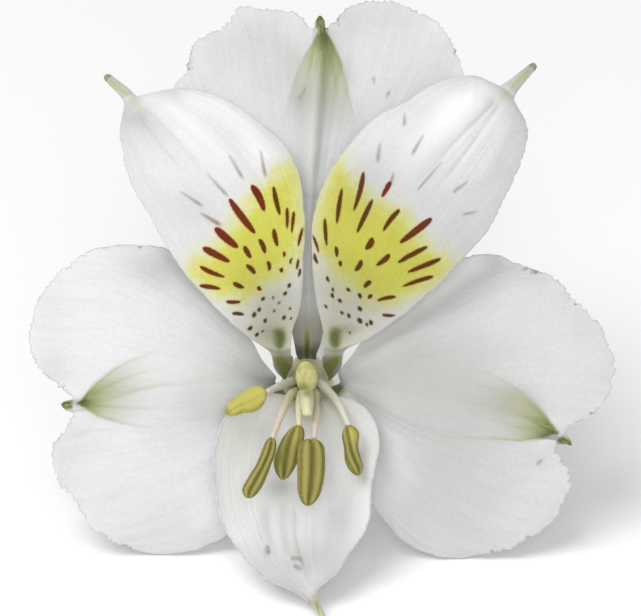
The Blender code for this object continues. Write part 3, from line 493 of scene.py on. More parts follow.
def outline_reach(p):
    """For a grid: each point's distance to the outline, the length along it of the nearest point there, and
    the way out of the sheet at that point."""
    nu, nv = p.shape[:2]
    border = outline_indices(nu, nv)
    # The foot's row is left out: a claw has no margin there.
    keep = border[(border // nv) > 0]
    start = np.argmin(np.abs(keep - nv))
    keep = np.roll(keep, -start)
    ring = p.reshape(-1, 3)[keep]
    n = normals_of(p).reshape(-1, 3)[keep]
    ahead = np.gradient(ring, axis=0)
    out = np.cross(ahead, n)
    out /= np.maximum(np.linalg.norm(out, axis=1)[:, None], 1e-9)
    centre = p[nu * 2 // 3, nv // 2]
    if (out * (ring - centre)).sum(axis=1).mean() < 0:
        out = -out
    run = np.concatenate([[0], np.cumsum(np.linalg.norm(np.diff(ring, axis=0), axis=1))])
    tree = KDTree(len(ring))
    for i, q in enumerate(ring):
        tree.insert(q, i)
    tree.balance()
    flat = p.reshape(-1, 3)
    found = [tree.find(q) for q in flat]
    index = np.array([f[1] for f in found])
    d = np.array([f[2] for f in found]).reshape(nu, nv)
    return d, run[index].reshape(nu, nv), out[index].reshape(nu, nv, 3), run[-1]


# ---------------------------------------------------------------- petals
def even_rows(name, nu, nv):
    """Shares of a tepal's length for nu rows, closer together on the blade than on the claw."""
    coarse = np.linspace(0, 1, 60)
    p = tepal(name, coarse, np.array([0.3, 0.5, 0.7]))
    step = np.linalg.norm(np.diff(p, axis=0), axis=2).mean(axis=1)
    run = np.concatenate([[0], np.cumsum(step)])
    return np.interp(np.linspace(0, run[-1], nu), run, coarse)


def even_columns(name, nv):
    """Shares across a tepal for nv columns, evenly spaced along its margin."""
    coarse = np.linspace(0, 1, 400)
    p = tepal(name, np.array([0.7, 1.0]), coarse)
    step = np.linalg.norm(np.diff(p, axis=1), axis=2)
    step = 0.5 * step[0] / step[0].sum() + 0.5 * step[1] / step[1].sum()
    run = np.concatenate([[0], np.cumsum(step)])
    return np.interp(np.linspace(0, 1, nv), run, coarse)


def teeth(run, size, seed):
    """The margin's fine ragged teeth: small uneven points, narrow notches between some, and slower lobes."""
    saw = run / 0.78 + 0.9 * noise1(run / 2.1, seed)
    lean = saw - np.floor(saw)
    point = 1 - np.abs(lean - 0.38 - 0.25 * hash01(np.floor(saw), seed + 1)) * 2.1
    tall = 0.25 + 0.75 * hash01(np.floor(saw), seed + 2)
    notch = np.maximum(0, noise1(run / 0.66, seed + 3) - 0.42) ** 1.2
    return size * (0.85 * (point - 0.45) * tall + 0.38 * noise1(run / 0.3, seed + 5) + 0.75 * noise1(run / 2.3, seed + 7) - 1.6 * notch)


# For each tepal: the teeth's size in mm, and a seed.
FRINGE = {
    "outer_tepal_top": (0.40, 11),
    "outer_tepal_left": (0.36, 22),
    "outer_tepal_right": (0.38, 33),
    "inner_tepal_upper_left": (0.25, 44),
    "inner_tepal_upper_right": (0.27, 55),
    "inner_tepal_lower": (0.12, 66),
}
GRID = {
    "outer_tepal_top": (121, 421), "outer_tepal_left": (121, 441), "outer_tepal_right": (121, 441),
    "inner_tepal_upper_left": (271, 131), "inner_tepal_upper_right": (271, 131), "inner_tepal_lower": (211, 131),
}
# Creases and ridges along a blade: the line on the drawing, the half width in units of it, and the height in mm.
CREASES = {
    "inner_tepal_upper_left": [
        ([(138, 101), (152, 115), (164, 128), (186, 152), (208, 174), (232, 203)], 2.8, -0.22),
        ([(133, 107), (140, 119), (158, 144), (182, 172), (204, 192)], 2.8, -0.22),
        ([(136, 106), (152, 126), (172, 148)], 7.0, -0.28),
        ([(146, 103), (164, 118), (186, 138), (206, 156), (236, 190)], 6.5, 0.26),
        ([(127, 118), (136, 142), (150, 172), (172, 206)], 9.0, 0.22),
    ],
    "inner_tepal_upper_right": [
        ([(500, 96), (486, 111), (462, 136), (440, 160), (414, 192)], 2.8, -0.20),
        ([(505, 101), (489, 122), (471, 147), (452, 172), (432, 196)], 2.8, -0.20),
        ([(502, 99), (482, 122), (464, 142)], 7.0, -0.26),
        ([(492, 97), (474, 112), (452, 132), (430, 152), (404, 184)], 6.5, 0.24),
        ([(512, 116), (503, 138), (488, 168), (466, 200)], 9.0, 0.22),
        ([(474, 78), (472, 100), (470, 118)], 3.5, 0.14),
    ],
    "inner_tepal_lower": [
        ([(279, 500), (279, 530), (283, 552), (300, 566)], 4.5, 0.22),
        ([(296, 505), (297, 535), (302, 560), (310, 578), (317, 594)], 3.0, -0.42),
        ([(311, 500), (310, 530), (312, 560), (316, 580), (318, 600)], 4.0, 0.30),
        ([(268, 505), (270, 530), (275, 548)], 4.0, -0.14),
        ([(330, 500), (326, 530), (322, 560), (318, 582)], 4.0, -0.16),
    ],
    "outer_tepal_top": [
        ([(321, 32), (322, 62), (321, 98), (317, 133), (314, 163), (311, 220), (308, 300)], 5.0, -0.03),
        ([(318, 35), (308, 47), (300, 62), (292, 87), (287.5, 103), (283, 130)], 2.2, -0.10),
        ([(325, 33), (333, 45), (341, 63), (345, 80), (350, 100), (357, 130)], 2.2, -0.10),
        ([(311, 60), (306, 84), (303, 108)], 4.0, -0.14),
    ],
    "outer_tepal_left": [
        ([(79, 403), (115, 397), (139, 390), (159, 385.6), (191, 383), (240, 384)], 3.6, -0.04),
        ([(79, 403), (97, 384), (115, 369), (135, 359), (165, 350)], 2.2, -0.10),
        ([(79, 403), (99, 416), (121, 423), (141, 427), (170, 428)], 2.2, -0.10),
        ([(66, 446), (92, 430), (120, 434)], 3.0, -0.12),
    ],
    "outer_tepal_right": [
        ([(556, 430), (527.5, 417.5), (502, 410), (477, 404), (457, 397.5), (390, 390)], 3.6, -0.04),
        ([(556, 430), (535, 405), (520, 391), (502.5, 379), (470, 366)], 2.2, -0.10),
        ([(556, 430), (540, 437.5), (520, 440.5), (495, 439), (455, 437)], 2.2, -0.10),
    ],
}


def calm_fold(name, p):
    """An outer tepal with the fold along its midline rounded off to a low swell, but not at its notch."""
    x, y = drawn(p)
    line = CREASES[name][0][0]
    d, _ = to_line(x, y, line)
    (ax, ay), (bx, by) = line[:2]
    inward = ((x - ax) * (bx - ax) + (y - ay) * (by - ay)) / math.hypot(bx - ax, by - ay)
    reach = np.arange(-44, 45)
    kernel = np.exp(-(reach / 19.0) ** 2)
    kernel /= kernel.sum()
    weight = np.exp(-(d / 30.0) ** 4) * smooth_step((inward - 3) / 14)
    if name == "outer_tepal_top":
        weight = weight * (1 - smooth_step((y - 286) / 24))
    even = np.empty_like(p)
    for axis in range(3):
        padded = np.pad(p[..., axis], ((0, 0), (44, 44)), mode="edge")
        even[..., axis] = [np.convolve(row, kernel, mode="valid") for row in padded]
    return p + (even - p) * weight[..., None]


def evenly_drawn_out(p, along):
    """An upper inner tepal with a tip that tapers evenly and runs on from the blade in two hollow curves."""
    a, b = p[:, 0], p[:, -1]
    middle, chord = (a + b) / 2, b - a
    half = np.linalg.norm(chord, axis=1) / 2
    s = along - 0.915 * along[-1]
    target = 0.46 + 0.42 * (1 - s / s[-1]) + 0.95 * np.exp(-(s + 1.2) / 0.9)
    scale = 1 + (target / half - 1) * smooth_step((s + 1.9) / 0.7)
    way = chord / (2 * half)[:, None]
    off = np.einsum("ijk,ik->ij", p - middle[:, None], way)
    return p + way[:, None] * (off * (scale - 1)[:, None])[..., None]


def fine_surface(name):
    """A tepal's middle surface as a fine grid in the flower's frame, its thickness, and what its paint needs."""
    nu, nv = GRID[name]
    us, vs = even_rows(name, nu, nv), even_columns(name, nv)
    p = tepal(name, us, vs)
    x, y = drawn(p)
    step = np.linalg.norm(np.diff(p, axis=0), axis=2).mean(axis=1)
    along = np.concatenate([[0], np.cumsum(step)])
    if name.startswith("inner_tepal_upper"):
        p = evenly_drawn_out(p, along)
    if name.startswith("outer"):
        p = calm_fold(name, p)
    x, y = drawn(p)
    blade_from = along[np.searchsorted(us, 0.35)] if name.startswith("inner") else along[np.searchsorted(us, 0.3)]
    along_grid = np.repeat(along[:, None], nv, axis=1)
    across_grid = np.repeat(vs[None, :], nu, axis=0)
    size, seed = FRINGE[name]
    d, run, out, length = outline_reach(p)
    # The teeth stop at the claw.
    on_blade = smooth_step((along_grid - blade_from) / 6.0)
    n = normals_of(p)
    if n[..., 2].mean() < 0:
        n = -n
    # Nor is a drawn-out tip toothed.
    plain = smooth_step((along / along[-1] - (0.955 if name.endswith("lower") else 0.885)) / 0.02) if "neck" in TEPALS[name] else 0 * us
    # An outer tepal's long sides are smoother than its broad end.
    ragged = 1.0
    if name.startswith("outer"):
        corner = np.minimum(*(np.linalg.norm(p - p[-1, j], axis=2) for j in (0, -1)))
        ragged = (0.25 + 0.75 * smooth_step((us - 0.80) / 0.15))[:, None] * smooth_step((corner - 0.6) / 3.2)
        ragged = ragged * smooth_step((to_line(x, y, FANS[name]["point"])[0] - 5.0) / 6.0)
    elif "neck" in TEPALS[name]:
        ragged = (0.5 + 1.1 * smooth_step((us - 0.55) / 0.25))[:, None]
    p = p + out * (teeth(run, size, seed) * ragged * np.exp(-(d / 0.75) ** 2) * on_blade * (1 - plain)[:, None])[..., None]
    relief = np.zeros((nu, nv))
    for line, half, height in CREASES.get(name, ()):
        far, share = to_line(x, y, line)
        relief += height * np.exp(-(far / half) ** 2) * smooth_step(share / 0.12) * smooth_step((1 - share) / 0.45)
    # Fine ribs along the blade, slow swells, and a waver that grows towards the margin.
    fan = across_grid * 40
    relief += (0.008 if name == "inner_tepal_lower" else 0.020) * noise1(fan * 1.0, seed + 1) * on_blade
    relief += 0.010 * noise1(fan * 2.3, seed + 2) * on_blade
    relief += 0.17 * noise2(x / 46, y / 46, seed + 4) * on_blade
    relief += 0.060 * noise2(x / 19, y / 19, seed + 6) * on_blade
    waver = 0.34 if name.startswith("outer") else 0.12
    calm = (1 - plain)[:, None] * on_blade
    relief = relief * (1 - 0.9 * plain)[:, None]
    relief += waver * noise1(run / 5.2, seed + 8) * np.exp(-(d / 3.2) ** 1.5) * calm
    relief += 0.4 * waver * noise1(run / 1.5, seed + 9) * np.exp(-(d / 1.0) ** 1.5) * calm
    if name.startswith("inner_tepal_upper"):
        # The lip over the mouth of the channel, and the channel below it.
        s = 2 * across_grid - 1
        lip = np.where(name.endswith("left"), y - 347.0, y - 346.0)
        relief += 0.45 * np.exp(-(lip / 3.2) ** 2) * np.exp(-(s / 0.9) ** 4)
        relief -= 0.75 * np.exp(-((lip + 10) / 8.0) ** 2) * np.exp(-(s / 0.55) ** 2)
    p = p + n * relief[..., None]
    thick = 0.10 + 0.24 * (1 - np.exp(-(d / 1.6) ** 1.3))
    thick += 0.35 * (1 - smooth_step((along_grid - 2) / 14)) * (1 - np.exp(-(d / 0.5) ** 2))
    p_corner = np.minimum(*(np.linalg.norm(p - p[-1, j], axis=2) for j in (0, -1)))
    fields = {"corner": p_corner, "draw": np.stack([x, y, np.zeros_like(x)], axis=-1), "edge": d, "along": along_grid,
              "fan": np.stack([across_grid, along_grid / along[-1], np.full((nu, nv), seed * 0.1)], axis=-1)}
    return p, thick, fields, x, y


# ---------------------------------------------------------------- markings, on the drawing
# The streaks of the two nectar guides: from (x, y) to (x, y), and the width.
STREAKS_LEFT = [
    (251, 185, 264, 211, 7.4), (229, 198, 255, 233, 7), (215, 227, 238, 247, 8), (203, 247, 230, 261, 7), (200, 266, 225, 276, 5),
    (199, 286, 221, 288, 5), (273, 186, 279.5, 215, 5), (286.5, 207, 286.5, 229, 3.5), (293.5, 211, 291, 233, 3.5), (273, 228, 277, 246, 5),
    (259, 238, 265, 253, 5), (244, 245, 251, 257.5, 5), (246, 264, 255, 273, 5), (267.5, 260, 269, 270.5, 4), (283, 250.5, 283, 257, 3),
    (281.5, 267, 281, 272, 4), (233, 282, 244, 287, 5), (258, 285, 261, 290, 4), (226, 301, 241, 301, 4), (232, 313, 244, 314, 4),
    (302, 227, 297, 246, 3), (291.5, 257, 290, 264, 2.5), (298, 258, 296, 269, 3), (300, 268, 298, 277, 3),
]
DOTS_LEFT = [
    (263, 298, 3), (285, 293, 3), (289, 285, 3), (273, 297, 2), (279, 302, 2), (259, 309, 3), (254, 314, 3.5), (265, 320, 3), (274, 310, 2),
    (284, 317, 3), (290, 308, 2), (250, 328, 3.5), (257, 335, 3), (263, 332, 2), (291, 318, 1.7),
]
FADED_LEFT = [(260, 151, 265, 176, 3.0, 0.5), (229, 156, 242, 178, 3.2, 0.0), (208, 174, 227, 195, 3.2, 0.0), (182, 191, 202, 205, 3.0, 0.0), (202, 213, 220, 224, 4, 0.9)]
STREAKS_RIGHT = [
    (364, 172, 354, 211, 5), (342.5, 188.5, 337, 224, 4.5), (373, 199, 357, 233, 5), (391, 181, 382, 197, 5), (400, 209, 383, 231, 5),
    (432, 218, 399.5, 243, 7), (428, 246, 397.5, 262.5, 5), (441, 258, 407, 272, 5), (433.5, 275.5, 402, 286, 4.5), (325, 218, 327, 246, 4),
    (336, 246, 337, 257, 4), (341, 260, 341, 266, 4), (373, 237.5, 366, 249, 6.5), (390, 254, 376, 265, 5.5), (362, 259, 355, 270.5, 5),
    (371, 280, 364, 287, 5), (372.5, 294, 368, 298, 4), (396, 296, 377, 300, 4), (382, 314, 395, 315, 3.5), (313, 235, 319, 253, 3),
    (314, 253, 318, 264, 3.5), (327, 275.5, 330, 282, 3),
]
DOTS_RIGHT = [
    (333, 289, 2.5), (332.5, 295, 3), (340, 300, 3), (348.5, 289, 3), (360, 295, 3.5), (360, 308, 3.5), (326, 306, 2.5), (342, 312, 2.5),
    (349, 315, 3), (360, 320, 4), (367, 324, 2.5), (371, 322, 3.5), (349, 335, 1.7),
]
FADED_RIGHT = [(405, 115, 405, 126, 3, 0.0), (380.5, 144, 378, 161, 3.6, 0.0), (423.5, 136, 413, 154, 3, 0.0), (442, 162, 418, 189.5, 2.2, 0.0),
               (467, 181, 453, 191, 2.6, 0.0), (477, 211, 463, 214, 2.4, 0.0), (394, 173, 391, 182, 3.0, 0.3)]
YELLOW_LEFT = [(281, 164), (292, 158), (303, 176), (305, 205), (304, 240), (299.5, 261), (287, 275), (270, 286), (259, 296), (244, 302), (231, 302), (214, 296), (198, 289),
               (182, 270), (188, 264), (200, 252), (216, 238), (231, 219), (241, 203), (253, 189), (268, 176)]
YELLOW_RIGHT = [(337, 158), (344, 160), (355, 175), (367, 189), (378, 196), (389, 201), (404, 208), (416, 222), (426, 237), (440, 249), (456, 262),
                (441, 281), (426, 292), (411, 301), (392, 306), (374, 308), (357, 295), (336, 280), (316, 254), (309, 225), (318, 195), (328, 173)]


# The share of red in the streaks that are not plain brown.
RED_LEFT = {0: 1.0, 1: 0.75, 2: 1.0, 3: 0.8, 4: 0.6, 5: 0.35, 18: 0.5, 19: 0.45}
RED_RIGHT = {0: 0.25, 3: 1.0, 5: 0.65, 8: 0.3, 7: 0.25, 18: 0.5}


def streak_field(x, y, streaks, dots, reds):
    """How far inside the nearest streak or dot a point lies, in units of the drawing: above zero inside. And
    how red that one is."""
    best = np.full(x.shape, -20.0)
    red = np.zeros(x.shape)
    for i, (ax, ay, bx, by, width) in enumerate(streaks):
        length = math.hypot(bx - ax, by - ay)
        # A stroke with drawn-out ends, fuller towards one of them, with a slight bend.
        t = ((x - ax) * (bx - ax) + (y - ay) * (by - ay)) / length**2
        bend = 0.5 * (hash01(i, 9) - 0.5) * width
        side = ((x - ax) * (by - ay) - (y - ay) * (bx - ax)) / length - bend * np.sin(math.pi * np.clip(t, 0, 1))
        full = 0.40 + 0.2 * (hash01(i, 4) - 0.5)
        c = np.clip(t, 0.0, 1.0)
        bulge = np.where(c < full, c / full, (1 - c) / (1 - full))
        half = 0.53 * width * (bulge * (2 - bulge)) ** 0.42
        beyond = np.maximum(np.maximum(-t, t - 1), 0) * length
        here = np.where(beyond > 0, -np.hypot(beyond, side), half - np.abs(side))
        # A red one is reddest at its outer end.
        red = np.where(here > best, reds.get(i, 0.0) * (1 - 0.35 * c), red)
        best = np.maximum(best, here)
    for i, (cx, cy, width) in enumerate(dots):
        turn = 0.5 * (hash01(i, 6) - 0.5) + (0.6 if cx < 307 else -0.6)
        along = (x - cx) * math.sin(turn) - (y - cy) * math.cos(turn)
        across = (x - cx) * math.cos(turn) + (y - cy) * math.sin(turn)
        here = 0.66 * width + 0.12 - np.hypot(along * 0.78, across * 1.15)
        red = np.where(here > best, 0.0, red)
        best = np.maximum(best, here)
    return best, red


def faded_field(x, y, faded):
    """Strength from 0 to 1 and redness from 0 to 1 of the washed-out streaks."""
    strength, red = np.zeros(x.shape), np.zeros(x.shape)
    for ax, ay, bx, by, width, redness in faded:
        d, share = to_line(x, y, [(ax, ay), (bx, by)])
        s = np.minimum(1, 1.25 * np.exp(-(d / (width * 0.58 * (0.50 + 0.72 * share * (1.45 - share)))) ** 2.0)) * (0.55 + 0.45 * share) * (1 - 0.45 * smooth_step((share - 0.86) / 0.14))
        red = np.where(s > strength, redness, red)
        strength = np.maximum(strength, s)
    return strength, red


def veins_and_fills(x, y, apex, veins, fills):
    """A green fan: each vein fades with its own length, each fill with its distance from the apex."""
    green = np.zeros(x.shape)
    away = np.hypot(x - apex[0], y - apex[1])
    for ring, strength, reach, soft in fills:
        # The fills start sharp at the apex, where they are darkest, and soften away from it.
        blur = soft * (0.24 + 0.76 * smooth_step(away / 34))
        cover = smooth_step((inside(x, y, ring) + blur * 0.5) / blur)
        green = green + (cover * (strength * np.exp(-(away / reach) ** 1.25) + 1.00 * np.exp(-(away / 13.0) ** 2))) ** 3
    green = np.cbrt(green)
    for line, width, strength in veins:
        d, share = to_line(x, y, line)
        fade = np.clip(1 - share, 0, 1) ** 0.8 * (0.30 + 0.70 * smooth_step(share / 0.4))
        green = green + strength * fade * np.exp(-(d / (width * (0.8 + 0.5 * share))) ** 2)
    return 1 - np.exp(-1.2 * np.clip(green, 0, 2))


# Each outer tepal's fan: its apex, its veins (line, width, strength), its fills (ring, strength, reach,
# softness), and the line of its hooked point with the pale gap before it.
FANS = {
    "outer_tepal_top": dict(
        apex=(321.5, 30),
        veins=[([(321, 33), (316, 41), (307, 56), (299, 72), (290.5, 97), (284, 120), (278, 140)], 1.8, 0.20),
               ([(321, 33), (325, 36), (333, 47), (341, 63), (345.5, 80), (350, 100), (357, 134)], 1.8, 0.30),
               ([(322, 31), (325, 50), (323.5, 83), (321, 118)], 4.6, 0.16),
               ([(322, 60), (320.5, 100), (317.5, 130), (316.5, 160), (312.5, 196), (310, 290)], 4.6, 0.16),
               ([(321, 36), (313, 56), (307, 76), (300, 112)], 1.7, 0.20),
               ([(321, 36), (317, 60), (314, 84), (312, 112)], 1.7, 0.18),
               ([(323, 36), (330, 56), (334, 76), (339, 112)], 2.0, 0.22)],
        fills=[([(320, 26), (326, 34), (334, 46), (343, 64), (347, 84), (352, 106), (358, 170), (324, 170), (319, 100)], 1.05, 44, 9.0),
               ([(322, 26), (316, 39), (306, 56), (298, 73), (290, 97), (283, 120), (276, 170), (324, 170), (321, 96)], 0.66, 44, 9.0)],
        point=[(321.5, 31), (322.5, 25), (319.5, 17.5)]),
    "outer_tepal_left": dict(
        apex=(79.5, 403),
        veins=[([(79, 403), (97, 384), (115, 369), (135, 359), (159, 351), (180, 347)], 1.7, 0.24),
               ([(79, 403), (115, 397), (139, 390), (159, 385.6), (191, 383), (250, 381)], 2.5, 0.20),
               ([(81, 402), (95, 392), (131, 376), (172, 366)], 1.7, 0.16),
               ([(81, 403), (95, 406), (135, 408), (185, 408)], 1.6, 0.15),
               ([(79, 403), (99, 416), (121, 423), (141, 427), (168, 428)], 1.7, 0.24)],
        fills=[([(78, 403), (97, 382), (116, 367), (136, 358), (180, 346), (230, 346), (230, 384), (150, 389), (115, 398)], 0.88, 38, 11.0),
               ([(78, 403), (115, 395), (150, 387), (230, 382), (230, 432), (150, 429), (121, 424), (98, 417)], 0.70, 31, 11.0)],
        point=[(73.5, 404.5), (62.5, 404.8)]),
    "outer_tepal_right": dict(
        apex=(556, 430),
        veins=[([(556, 430), (535, 405), (520, 391), (502.5, 379), (477.5, 369), (450, 361)], 1.7, 0.18),
               ([(545, 415), (525, 402), (507.5, 395), (482, 386), (450, 378)], 1.6, 0.16),
               ([(556, 430), (527.5, 417.5), (502, 410), (477, 404), (457, 397.5), (400, 389)], 3.6, 0.18),
               ([(545, 430), (520, 427.5), (495, 420), (462, 414)], 1.6, 0.13),
               ([(556, 430), (540, 437.5), (520, 440.5), (495, 439), (465, 437.5), (416, 436)], 1.8, 0.26)],
        fills=[([(557.5, 431), (536, 403), (521, 389), (502, 378), (470, 366), (430, 360), (430, 396), (490, 406), (528, 419)], 1.10, 36, 10.0),
               ([(557.5, 431), (528, 416), (490, 404), (430, 394), (420, 440), (495, 441), (520, 442), (540, 439)], 0.90, 31, 10.0)],
        point=[(558.5, 437), (569, 443)]),
}


# ---------------------------------------------------------------- materials
class Shade:
    """A material with one Principled BSDF, and short names for the nodes in front of it."""

    def __init__(self, name, roughness, specular=0.35, subsurface=0.0, radius=(1, 1, 1), scale=0.0005):
        self.material = bpy.data.materials.new(name)
        self.material.use_nodes = True
        self.tree = self.material.node_tree
        self.shader = self.tree.nodes["Principled BSDF"]
        self.shader.inputs["Roughness"].default_value = roughness
        self.shader.inputs["Specular IOR Level"].default_value = specular
        if subsurface:
            self.shader.inputs["Subsurface Weight"].default_value = subsurface
            self.shader.inputs["Subsurface Radius"].default_value = radius
            self.shader.inputs["Subsurface Scale"].default_value = scale

    def node(self, kind, **settings):
        n = self.tree.nodes.new(kind)
        for key, value in settings.items():
            setattr(n, key, value)
        return n

    def put(self, socket, value):
        if isinstance(value, bpy.types.NodeSocket):
            self.tree.links.new(value, socket)
        elif isinstance(value, (tuple, list)) and len(value) == 3 and len(socket.default_value) == 4:
            socket.default_value = (*value, 1)
        else:
            socket.default_value = value

    def number(self, name):
        return self.node("ShaderNodeAttribute", attribute_name=name).outputs["Fac"]

    def vector(self, name):
        return self.node("ShaderNodeAttribute", attribute_name=name).outputs["Vector"]

    def position(self):
        return self.node("ShaderNodeTexCoord").outputs["Object"]

    def scaled(self, vector, by):
        n = self.node("ShaderNodeVectorMath", operation="MULTIPLY")
        self.put(n.inputs[0], vector)
        self.put(n.inputs[1], by)
        return n.outputs[0]

    def sum(self, a, b):
        n = self.node("ShaderNodeVectorMath", operation="ADD")
        self.put(n.inputs[0], a)
        self.put(n.inputs[1], b)
        return n.outputs[0]

    def math(self, operation, a, b=0.0, clamp=False):
        n = self.node("ShaderNodeMath", operation=operation, use_clamp=clamp)
        self.put(n.inputs[0], a)
        self.put(n.inputs[1], b)
        return n.outputs[0]

    def step(self, value, low, high):
        """0 below low and 1 above high, smooth between."""
        n = self.node("ShaderNodeMapRange", interpolation_type="SMOOTHSTEP")
        self.put(n.inputs["Value"], value)
        n.inputs["From Min"].default_value = low
        n.inputs["From Max"].default_value = high
        return n.outputs["Result"]

    def span(self, value, low, high, to_low, to_high):
        n = self.node("ShaderNodeMapRange")
        self.put(n.inputs["Value"], value)
        for key, number in (("From Min", low), ("From Max", high), ("To Min", to_low), ("To Max", to_high)):
            n.inputs[key].default_value = number
        return n.outputs["Result"]

    def noise(self, vector, scale, detail=2.0, rough=0.5):
        n = self.node("ShaderNodeTexNoise")
        self.put(n.inputs["Vector"], vector)
        n.inputs["Scale"].default_value = scale
        n.inputs["Detail"].default_value = detail
        n.inputs["Roughness"].default_value = rough
        return n.outputs["Fac"]

    def cells(self, vector, scale):
        n = self.node("ShaderNodeTexVoronoi")
        self.put(n.inputs["Vector"], vector)
        n.inputs["Scale"].default_value = scale
        return n.outputs["Distance"]

    def mix(self, factor, a, b, blend="MIX"):
        n = self.node("ShaderNodeMix", data_type="RGBA", blend_type=blend)
        self.put(n.inputs["Factor"], factor)
        self.put(n.inputs[6], a)
        self.put(n.inputs[7], b)
        return n.outputs[2]

    def bump(self, height, distance, strength=1.0, after=None):
        n = self.node("ShaderNodeBump")
        self.put(n.inputs["Height"], height)
        n.inputs["Distance"].default_value = distance
        n.inputs["Strength"].default_value = strength
        if after is not None:
            self.put(n.inputs["Normal"], after)
        return n.outputs["Normal"]

    def done(self, colour, normal=None, roughness=None):
        self.put(self.shader.inputs["Base Color"], colour)
        if normal is not None:
            self.put(self.shader.inputs["Normal"], normal)
        if roughness is not None:
            self.put(self.shader.inputs["Roughness"], roughness)
        return self.material


WHITE = (0.665, 0.669, 0.677)


def petal_material(name, guides=False):
    s = Shade(name, 0.62, 0.08 if guides else 0.12, 0.10, (1.0, 0.97, 0.92), 0.0006)
    fan, draw, place = s.vector("fan"), s.vector("draw"), s.position()
    back, edge = s.number("back"), s.number("edge")
    fine = s.noise(s.scaled(fan, (110.0, 5.0, 9.0)), 1.0, 3.0, 0.55)
    broad = s.noise(s.scaled(fan, (34.0, 1.6, 9.0)), 1.0, 2.0, 0.5)
    cloud = s.noise(s.scaled(draw, (0.020, 0.020, 1.0)), 1.0, 3.0, 0.5)
    mottle = s.noise(s.scaled(draw, (0.24, 0.24, 1.0)), 1.0, 4.0, 0.62)
    grain = s.noise(place, 2600.0, 2.0, 0.6)
    cell = s.cells(place, 4200.0)
    colour = s.mix(s.math("MULTIPLY", s.step(fine, 0.44, 0.72), 0.46), WHITE, (0.592, 0.598, 0.610))
    colour = s.mix(s.math("MULTIPLY", s.step(broad, 0.50, 0.74), 0.26), colour, (0.578, 0.584, 0.597))
    colour = s.mix(s.math("MULTIPLY", s.step(mottle, 0.40, 0.66), 0.46), colour, (0.592, 0.598, 0.606))
    colour = s.mix(s.math("MULTIPLY", s.step(grain, 0.45, 0.70), 0.26), colour, (0.722, 0.726, 0.732))
    colour = s.mix(s.math("MULTIPLY", s.step(cloud, 0.42, 0.72), 0.32), colour, (0.602, 0.608, 0.618))
    # Painted light: a brighter white where the light attribute is set.
    colour = s.mix(s.math("MULTIPLY", s.number("light"), 0.85), colour, (0.830, 0.833, 0.838))
    colour = s.mix(s.number("tint"), colour, (0.590, 0.578, 0.385))
    # Painted shading over the petal, and the dark tone of some tips, towards a dark brownish grey.
    colour = s.mix(s.number("painted_shading_and_dark_tone"), colour, (0.200, 0.186, 0.160))
    warp = s.math("MULTIPLY", s.math("SUBTRACT", s.noise(s.scaled(draw, (0.50, 0.50, 1.0)), 1.0, 3.0), 0.5), 1.5)
    if guides:
        rough_edge = s.math("MULTIPLY", s.math("SUBTRACT", s.noise(s.scaled(draw, (0.075, 0.075, 1.0)), 1.0, 4.0), 0.5), 24.0)
        reach = s.math("ADD", s.number("yellow"), rough_edge)
        front = s.span(back, 0, 1, 1.0, 0.35)
        colour = s.mix(s.math("MULTIPLY", s.math("MULTIPLY", s.step(reach, -20.0, 12.0), 0.62), front), colour, (0.640, 0.634, 0.350))
        deep = s.noise(s.scaled(draw, (0.035, 0.035, 1.0)), 1.0, 3.0)
        lemon = s.mix(s.step(reach, 4.0, 26.0), (0.640, 0.632, 0.178), (0.566, 0.553, 0.064))
        lemon = s.mix(s.math("MULTIPLY", s.step(deep, 0.40, 0.68), 0.4), lemon, (0.600, 0.570, 0.110))
        lemon = s.mix(s.math("MULTIPLY", s.step(mottle, 0.40, 0.68), 0.45), lemon, (0.500, 0.490, 0.070))
        colour = s.mix(s.math("MULTIPLY", s.math("MULTIPLY", s.step(reach, -8.0, 15.0), 0.94), front), colour, lemon)
    grown = s.span(s.noise(s.scaled(fan, (90.0, 6.0, 3.0)), 1.0, 2.0), 0.3, 0.7, 0.86, 1.10)
    green = s.math("MULTIPLY", s.number("green"), grown, True)
    leafy = s.mix(s.step(green, 0.26, 0.68), (0.400, 0.406, 0.280), (0.252, 0.284, 0.128))
    leafy = s.mix(s.step(green, 0.62, 1.0), leafy, (0.112, 0.136, 0.036))
    leafy = s.mix(s.number("claw"), leafy, (0.500, 0.535, 0.185))
    colour = s.mix(s.step(green, 0.0, 0.42), colour, leafy)
    if guides:
        washed = s.math("MULTIPLY", s.number("faded"), s.span(back, 0, 1, 0.84, 0.25))
        colour = s.mix(washed, colour, s.mix(s.number("faded_red"), (0.255, 0.232, 0.198), (0.235, 0.074, 0.040)))
        depth = s.math("ADD", s.number("streak"), warp)
        soft = s.math("MULTIPLY", s.step(depth, -1.6, 0.3), s.span(back, 0, 1, 0.34, 0.10))
        colour = s.mix(soft, colour, s.mix(s.number("redness"), (0.330, 0.190, 0.026), (0.420, 0.130, 0.060)))
        brown = s.mix(s.step(s.number("yellow"), 1.0, -8.0), (0.098, 0.027, 0.0008), (0.062, 0.044, 0.026))
        red = s.mix(s.number("redness"), brown, (0.150, 0.010, 0.003))
        red = s.mix(s.math("MULTIPLY", s.step(s.noise(s.scaled(draw, (0.5, 0.5, 1.0)), 1.0, 2.0), 0.45, 0.8), 0.30), red, (0.120, 0.036, 0.003))
        hard = s.math("MULTIPLY", s.step(depth, -0.45, 0.85), s.span(back, 0, 1, 0.98, 0.22))
        colour = s.mix(hard, colour, red)
    fleck = s.math("MULTIPLY", s.number("fleck"), s.span(mottle, 0.3, 0.6, 1.0, 0.45))
    colour = s.mix(s.math("MULTIPLY", fleck, s.span(back, 0, 1, 0.90, 0.3)), colour, (0.165, 0.152, 0.128))
    # Painted shading: a last darkening towards near black.
    colour = s.mix(s.number("painted_darkening"), colour, (0.020, 0.018, 0.012))
    # A pale green keel on the back of an outer tepal.
    colour = s.mix(s.math("MULTIPLY", s.math("MULTIPLY", s.number("keel"), back), s.span(fine, 0.3, 0.7, 0.55, 0.9)), colour, (0.330, 0.420, 0.180))
